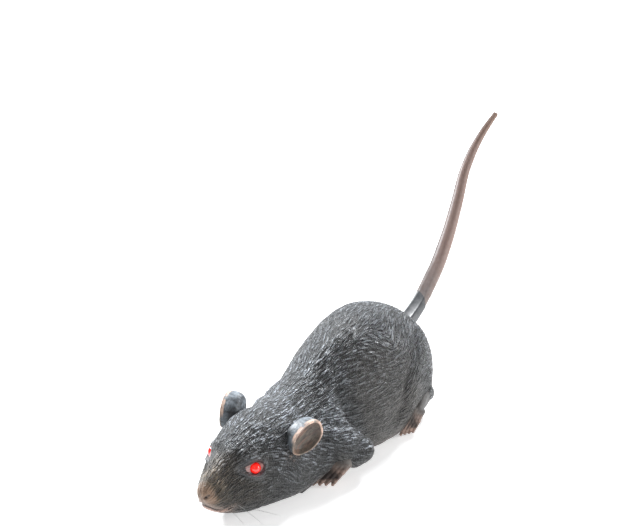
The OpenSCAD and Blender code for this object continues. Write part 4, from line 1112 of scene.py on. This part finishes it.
def ear_material():
    m = Nodes("ear_paint")
    c = m.attribute("local", "Vector")
    tone = m.attribute("tone", "Color")
    lines = m.noise(m.vec("MULTIPLY", c, (1.0, 0.16, 1.0)), 2300.0, 2.0, 0.6, 0.3)
    patch = m.noise(c, 700.0, 3.0, 0.6)
    fine = m.noise(c, 3200.0, 2.0, 0.6)
    base = m.mix(m.times(m.remap(lines, 0.42, 0.62), 0.55), tone,
                 m.mix(1.0, tone, (0.42, 0.40, 0.40), "MULTIPLY"))
    base = m.mix(m.times(m.remap(patch, 0.55, 0.75), 0.35), base,
                 m.mix(1.0, tone, (1.8, 1.7, 1.6), "MULTIPLY"))
    m.set(Base_Color=base, Roughness=m.remap(patch, 0.3, 0.7, 0.36, 0.55, False))
    m.set(Normal=m.bump(m.plus(lines, m.times(fine, 0.4)), 0.6, 0.00025))
    return m.mat


ear_paint = ear_material()
for m, side in ((1, "left"), (-1, "right")):
    build_ear("ear_" + side, m)


# ---------- tail ----------

line = np.array([[p[0], NOSE + p[1], p[2]] for p in tail_line])
full_line = smooth(line, 12)
full_r = smooth(np.array([[TAIL_RADIUS * k] for k in tail_taper]), 12)[:, 0]


def facets(a, amount):
    """Six soft flats round a tube; amount 0 leaves it round."""
    step = math.pi / 3
    q = (a + 0.35) % step - step / 2
    flat = math.cos(step / 2) / np.cos(q)
    return 1 + amount * (flat * 1.035 - 1)


def build_tail():
    n = 32
    a = turn(n)
    start = 30          # inside the root's sleeve
    path = full_line[start:]
    r = full_r[start:]
    s = length_along(path)
    fine = np.linspace(0, s[-1], 240)
    path = np.stack([np.interp(fine, s, path[:, k]) for k in range(3)], 1)
    r = np.interp(fine, s, r)
    d, u, v = frames(path)
    rings, along, angle = [], [], []
    for i in range(len(path)):
        flat = 0.75 * (1 - ramp(16, 46, fine[i]))
        ripple = 0.04 * math.sin(fine[i] * 1.9) * min(1, r[i] / 2) * 0.4
        rr = r[i] * facets(a, flat) * (1 - 0.035 * (fine[i] < 22)) + ripple
        rings.append(around(path[i], rr, a, u[i], v[i]))
        along += [fine[i]] * n
        angle += list(a)
    tip = path[-1] + d[-1] * 0.5
    rings.append(around(tip, 0.75, a, u[-1], v[-1]))
    along += [fine[-1]] * n
    angle += list(a)
    co, faces = closed_rings(rings)
    ob = new_object("tail_skin", co, faces)
    me = ob.data
    face_outward(ob)
    me.shade_smooth()
    nn = get_normals(me)
    along, angle = np.array(along), np.array(angle)
    set_co(me, co + nn * (0.07 * noise(co, 6.0, 71) + 0.03 * noise(co, 2.0, 72))[:, None])
    f = along / fine[-1]
    grey = rgb(0.150, 0.142, 0.140)
    rose = rgb(0.300, 0.215, 0.190)
    tan = rgb(0.24, 0.158, 0.118)
    brown = rgb(0.26, 0.175, 0.145)
    shade = rgb(0.092, 0.070, 0.062)
    paint = Paint(rose, len(co))
    over = paint.over
    over(grey, 0.75 * (1 - ramp(14, 60, along)))
    over(tan, 0.7 * ramp(0.75, 1.0, f))
    # painted shade: browner on the lower right side, and darker on the upper left to hold down the lamps'
    # light there
    over(brown, 0.5 * ramp(0.2, 0.9, nn[:, 0] * 0.75 - nn[:, 2] * 0.55) * (1 - 0.3 * f))
    over(shade, 0.95 * ramp(-0.25, 0.6, -nn[:, 0] * 0.8 + nn[:, 1] * 0.4 + nn[:, 2] * 0.3))
    over(brown, 0.25 * ramp(0.1, 0.7, noise(co * np.array([1, 0.4, 0.4]), 5.0, 73)))
    add_color(me, "tone", paint.color)
    add_float(me, "along", along * MM)
    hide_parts("tail")
    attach(ob, "chassis")
    return ob


def build_root():
    """The grey sleeve at the tail's root, with flats and an oblique edge where the pink begins."""
    a = turn(48)
    path = full_line[:60]
    s = length_along(path)
    end = float(s[48])
    _, u, v = frames(path)
    outer, inner = [], []

    def at_s(q, rows_):
        return np.stack([np.interp(q, s, rows_[:, k]) for k in range(3)], 1)
    for g in np.linspace(0, 1, 44):
        q = g * (end + 1.0 + 3.6 * np.cos(a + 1.0))
        c, uu, vv = at_s(q, path), at_s(q, u), at_s(q, v)
        rr = (5.1 - 0.80 * q / end) * facets(a, 0.8 * ramp(2, 14, q))
        rr = rr + 0.25 * bell(q - 7.5, 1.2)
        outer.append(around(c, rr, a, uu, vv))
        if g > 0.5:
            inner.append(around(c, rr - 0.16, a, uu, vv))
    co, faces = closed_rings(outer + inner[::-1])
    ob = new_object("tail_root_skin", co, faces)
    me = ob.data
    face_outward(ob)
    me.shade_smooth()
    me.set_sharp_from_angle(angle=math.radians(40))
    me.materials.append(root_material())
    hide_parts("tail_root")
    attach(ob, "chassis")
    return ob


def root_material():
    m = Nodes("tail_root_paint")
    c = m.coords()
    patch = m.noise(c, 260.0, 3.0, 0.6)
    fine = m.noise(c, 2400.0, 2.0, 0.6)
    base = m.mix(m.remap(patch, 0.35, 0.7), (0.038, 0.041, 0.045), (0.080, 0.083, 0.088))
    m.set(Base_Color=base, Roughness=m.remap(fine, 0.3, 0.7, 0.34, 0.46, False))
    m.constant(Coat_Weight=0.15, Coat_Roughness=0.22)
    m.set(Normal=m.bump(m.plus(m.times(fine, 0.4), patch), 0.3, 0.0002))
    return m.mat


def tail_material():
    m = Nodes("tail_paint")
    c = m.coords()
    tone = m.attribute("tone", "Color")
    along = m.attribute("along")
    rings = m.math("SINE", m.times(along, 9000.0))
    fine = m.noise(c, 2600.0, 2.0, 0.6)
    patch = m.noise(c, 350.0, 3.0, 0.6)
    speck = m.remap(m.voronoi(c, 330.0), 0.085, 0.04)
    base = m.mix(m.remap(patch, 0.35, 0.75, 0.0, 0.45), tone,
                 m.mix(1.0, tone, (0.78, 0.72, 0.68), "MULTIPLY"))
    base = m.mix(m.times(speck, 0.5), base, (0.12, 0.075, 0.05))
    m.set(Base_Color=base, Roughness=m.remap(fine, 0.3, 0.7, 0.40, 0.54, False))
    m.constant(Specular_IOR_Level=0.3, Subsurface_Weight=0.12,
               Subsurface_Radius=(0.002, 0.0012, 0.0008), Subsurface_Scale=1.0)
    h = m.plus(m.times(rings, 0.12), m.plus(m.times(fine, 0.5), patch))
    m.set(Normal=m.bump(h, 0.25, 0.0002))
    return m.mat


tail = build_tail()
tail.data.materials.append(tail_material())
build_root()


# ---------- whiskers ----------

def build_whiskers(m, side, bristles, look):
    parts = []
    for x, t, z, reach, heading, tilt in bristles:
        yaw = Matrix.Rotation(math.radians(heading - 90), 3, "Z")
        R = yaw @ Matrix.Rotation(math.radians(-tilt), 3, "Y")
        s = np.linspace(0, 5, 26)
        sway = 0.10 * np.sin(s * 0.6 + x) - 0.10 * math.sin(x)
        p = np.stack([-1.2 + (reach + 1.2) * s / 5, sway, -0.07 * s ** 2], 1)
        p = p @ np.array(R).T + np.array([x, NOSE + t, z])
        r = 0.135 * (1 - 0.15 * s)
        _, u, v = frames(p, (0, 0, 1.0))
        rings = [around(p[i], r[i], turn(8), u[i], v[i]) for i in range(len(p))]
        parts.append(closed_rings(rings))
    co, faces = join(parts)
    co = co * np.array([m, 1.0, 1.0])
    if m < 0:
        faces = [f[::-1] for f in faces]
    ob = new_object("whisker_bristles_" + side, co, faces)
    ob.data.materials.append(look)
    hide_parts("whiskers_" + side)
    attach(ob, "chassis")


def whisker_material():
    m = Nodes("whisker_nylon_look")
    w = m.noise(m.coords(), 900.0, 2.0, 0.6)
    m.set(Base_Color=m.mix(m.remap(w, 0.35, 0.65), (0.07, 0.07, 0.075), (0.42, 0.42, 0.42)))
    m.set(Roughness=m.remap(w, 0.3, 0.7, 0.22, 0.36, False))
    m.set(Normal=m.bump(w, 0.2, 0.00005))
    return m.mat


whisker_look = whisker_material()
build_whiskers(1, "left", left_whiskers, whisker_look)
build_whiskers(-1, "right", right_whiskers, whisker_look)


# ---------- eyes ----------

def build_led(m, side, look):
    """A round diode with its flange, standing along LED_AXIS."""
    n = 64
    a = m * turn(n)
    flange, body = 2.98, LED_RADIUS
    profile = [(-5.4, 0.6), (-5.4, 2.9), (-5.3, flange), (-4.5, flange), (-4.4, 2.9), (-4.4, 2.52),
               (-3.6, 2.5), (0.0, 2.49), (0.6, body)]
    profile += [(0.6 + body * math.sin(q), max(body * math.cos(q), 0.02))
                for q in np.linspace(0.05, math.pi / 2, 22)]
    rings = []
    for h, r in profile:
        rr = np.full(n, r)
        if r > 2.9:
            # the flat on the flange
            rr = np.minimum(rr, 2.75 / np.maximum(np.cos(a - 0.4), 0.3))
        rings.append(around(LED_AT + h * LED_AXIS, rr, a, LED_FORE, LED_UP) * np.array([m, 1.0, 1.0]))
    ob = new_object("eye_lens_" + side, *closed_rings(rings))
    face_outward(ob)
    ob.data.shade_smooth()
    ob.data.set_sharp_from_angle(angle=math.radians(45))
    add_float(ob.data, "level", np.repeat([h for h, r in profile], n))
    ob.data.materials.append(look)
    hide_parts("eye_led_" + side)
    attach(ob, "chassis")


def led_material():
    m = Nodes("led_lens")
    swirl = m.noise(m.coords(), 1400.0, 2.0, 0.6)
    core = m.plus(m.remap(m.attribute("level"), 0.2, 3.0), m.times(swirl, 0.25))
    m.set(Base_Color=m.mix(m.remap(core, 0.2, 1.1), (0.35, 0.002, 0.002), (0.70, 0.010, 0.006)))
    m.set(Emission_Color=m.mix(m.remap(core, 0.35, 1.15), (0.55, 0.002, 0.001), (1.0, 0.020, 0.010)))
    m.set(Roughness=m.remap(swirl, 0.3, 0.7, 0.05, 0.12, False))
    m.constant(Emission_Strength=0.80, Coat_Weight=1.0, Coat_Roughness=0.03)
    return m.mat


led_look = led_material()
build_led(1, "left", led_look)
build_led(-1, "right", led_look)


# ---------- finishes of the carried-over parts ----------

plastics = {
    "black_plastic": ((0.018, 0.018, 0.020), 0.46, dict(vary=0.25, grain=1500.0, grit=0.00012)),
    "gearbox_plastic": ((0.42, 0.43, 0.44), 0.42, dict(grain=1300.0)),
    "cell_wrap": ((0.05, 0.10, 0.16), 0.28, dict(vary=0.2, grain=500.0, coat=0.5)),
    "board_green": ((0.02, 0.11, 0.045), 0.38, dict(vary=0.3, grain=700.0, coat=0.4)),
    "chip_black": ((0.022, 0.022, 0.024), 0.52, dict(vary=0.2, grain=3000.0)),
    "capacitor_blue": ((0.03, 0.08, 0.26), 0.30, dict(vary=0.2, coat=0.4)),
    "wire_red": ((0.42, 0.015, 0.012), 0.40, dict(vary=0.15, grain=1600.0)),
    "wire_yellow": ((0.55, 0.36, 0.02), 0.40, dict(vary=0.15, grain=1600.0)),
    "wire_black": ((0.02, 0.02, 0.022), 0.42, dict(vary=0.2, grain=1600.0)),
    "knob_white": ((0.66, 0.65, 0.61), 0.36, dict(grain=1400.0)),
    "motor_end_nylon": ((0.60, 0.59, 0.55), 0.45, dict(grain=1500.0)),
    "gear_acetal": ((0.66, 0.66, 0.63), 0.34, dict(vary=0.06, grain=1700.0)),
    "tyre_rubber": ((0.022, 0.022, 0.023), 0.72, dict(vary=0.3, grain=1900.0, grit=0.0002, specular=0.3)),
}
# colour, roughness and the axis that the lines run along
metals = {
    "screw_steel": ((0.55, 0.56, 0.58), 0.26, 2), "spring_steel": ((0.62, 0.62, 0.63), 0.22, 0),
    "contact_steel": ((0.70, 0.69, 0.66), 0.25, 1), "motor_steel": ((0.60, 0.60, 0.61), 0.30, 0),
    "pinion_brass": ((0.72, 0.50, 0.20), 0.26, 0),
}
looks = {k: plain(k + "_look", color, rough, **more) for k, (color, rough, more) in plastics.items()}
looks.update({k: brushed(k + "_look", *row) for k, row in metals.items()})
slot_of = {row["node"]: row["material_slot"] for row in frame["record"]["subparts"]}


for name, ob in nodes.items():
    if ob.hide_render:
        continue
    look = looks.get(slot_of.get(name), looks["black_plastic"])
    if not ob.material_slots:
        ob.data.materials.append(look)
    for s in ob.material_slots:
        s.material = look


# ---------- floor, light and camera ----------

bpy.ops.mesh.primitive_plane_add(size=6.0, location=(0, 0, -0.0001))
floor = bpy.context.object
floor.name = "floor"
paper = Nodes("floor_paper")
mottle = paper.noise(paper.coords(), 6.0, 2.0)
paper.set(Base_Color=paper.mix(mottle, (0.86, 0.86, 0.86), (0.90, 0.90, 0.90)))
paper.constant(Roughness=0.9, Emission_Color=(1, 1, 1, 1), Emission_Strength=0.5)
floor.data.materials.append(paper.mat)

world = bpy.data.worlds.new("studio")
scene.world = world
world.use_nodes = True
sky = world.node_tree.nodes["Background"]
sky.inputs["Color"].default_value = (0.95, 0.97, 1.0, 1)
sky.inputs["Strength"].default_value = 0.22

middle = Vector((0.0, (NOSE + 80) * MM, 0.025))


def area(name, at, size, power, color):
    lamp = bpy.data.lights.new(name, "AREA")
    lamp.shape = "RECTANGLE"
    lamp.size, lamp.size_y = size
    lamp.energy = power
    lamp.color = color
    ob = bpy.data.objects.new(name, lamp)
    scene.collection.objects.link(ob)
    ob.location = at
    ob.rotation_euler = (middle - Vector(at)).to_track_quat("-Z", "Y").to_euler()


area("key", (-0.85, 0.10, 0.55), (0.14, 0.14), 19.0, (0.94, 0.97, 1.0))
area("back", (-0.10, 0.95, 0.75), (0.25, 0.20), 15.0, (0.96, 0.98, 1.0))
area("spark_left", (-0.25, -0.75, 0.75), (0.05, 0.05), 0.55, (1.0, 1.0, 1.0))
area("spark_right", (0.30, -0.85, 0.85), (0.05, 0.05), 0.45, (1.0, 1.0, 1.0))
area("side", (0.90, 0.45, 0.40), (0.25, 0.25), 6.0, (1.0, 0.98, 0.96))

az, el, far = math.radians(35), math.radians(30), 0.62
back = Vector((math.sin(az) * math.cos(el), -math.cos(az) * math.cos(el), math.sin(el)))
cam = bpy.data.cameras.new("camera")
cam.sensor_width = 36.0
cam.sensor_fit = "HORIZONTAL"
cam.lens = 73.82
cam.shift_x = 0.0225
cam.shift_y = 0.2267
cam.clip_start = 0.01
camera = bpy.data.objects.new("camera", cam)
scene.collection.objects.link(camera)
camera.location = middle + back * far
camera.rotation_euler = (-back).to_track_quat("-Z", "Y").to_euler()
scene.camera = camera
scene.view_settings.view_transform = "Standard"
scene.view_settings.look = "None"

bpy.context.view_layer.update()
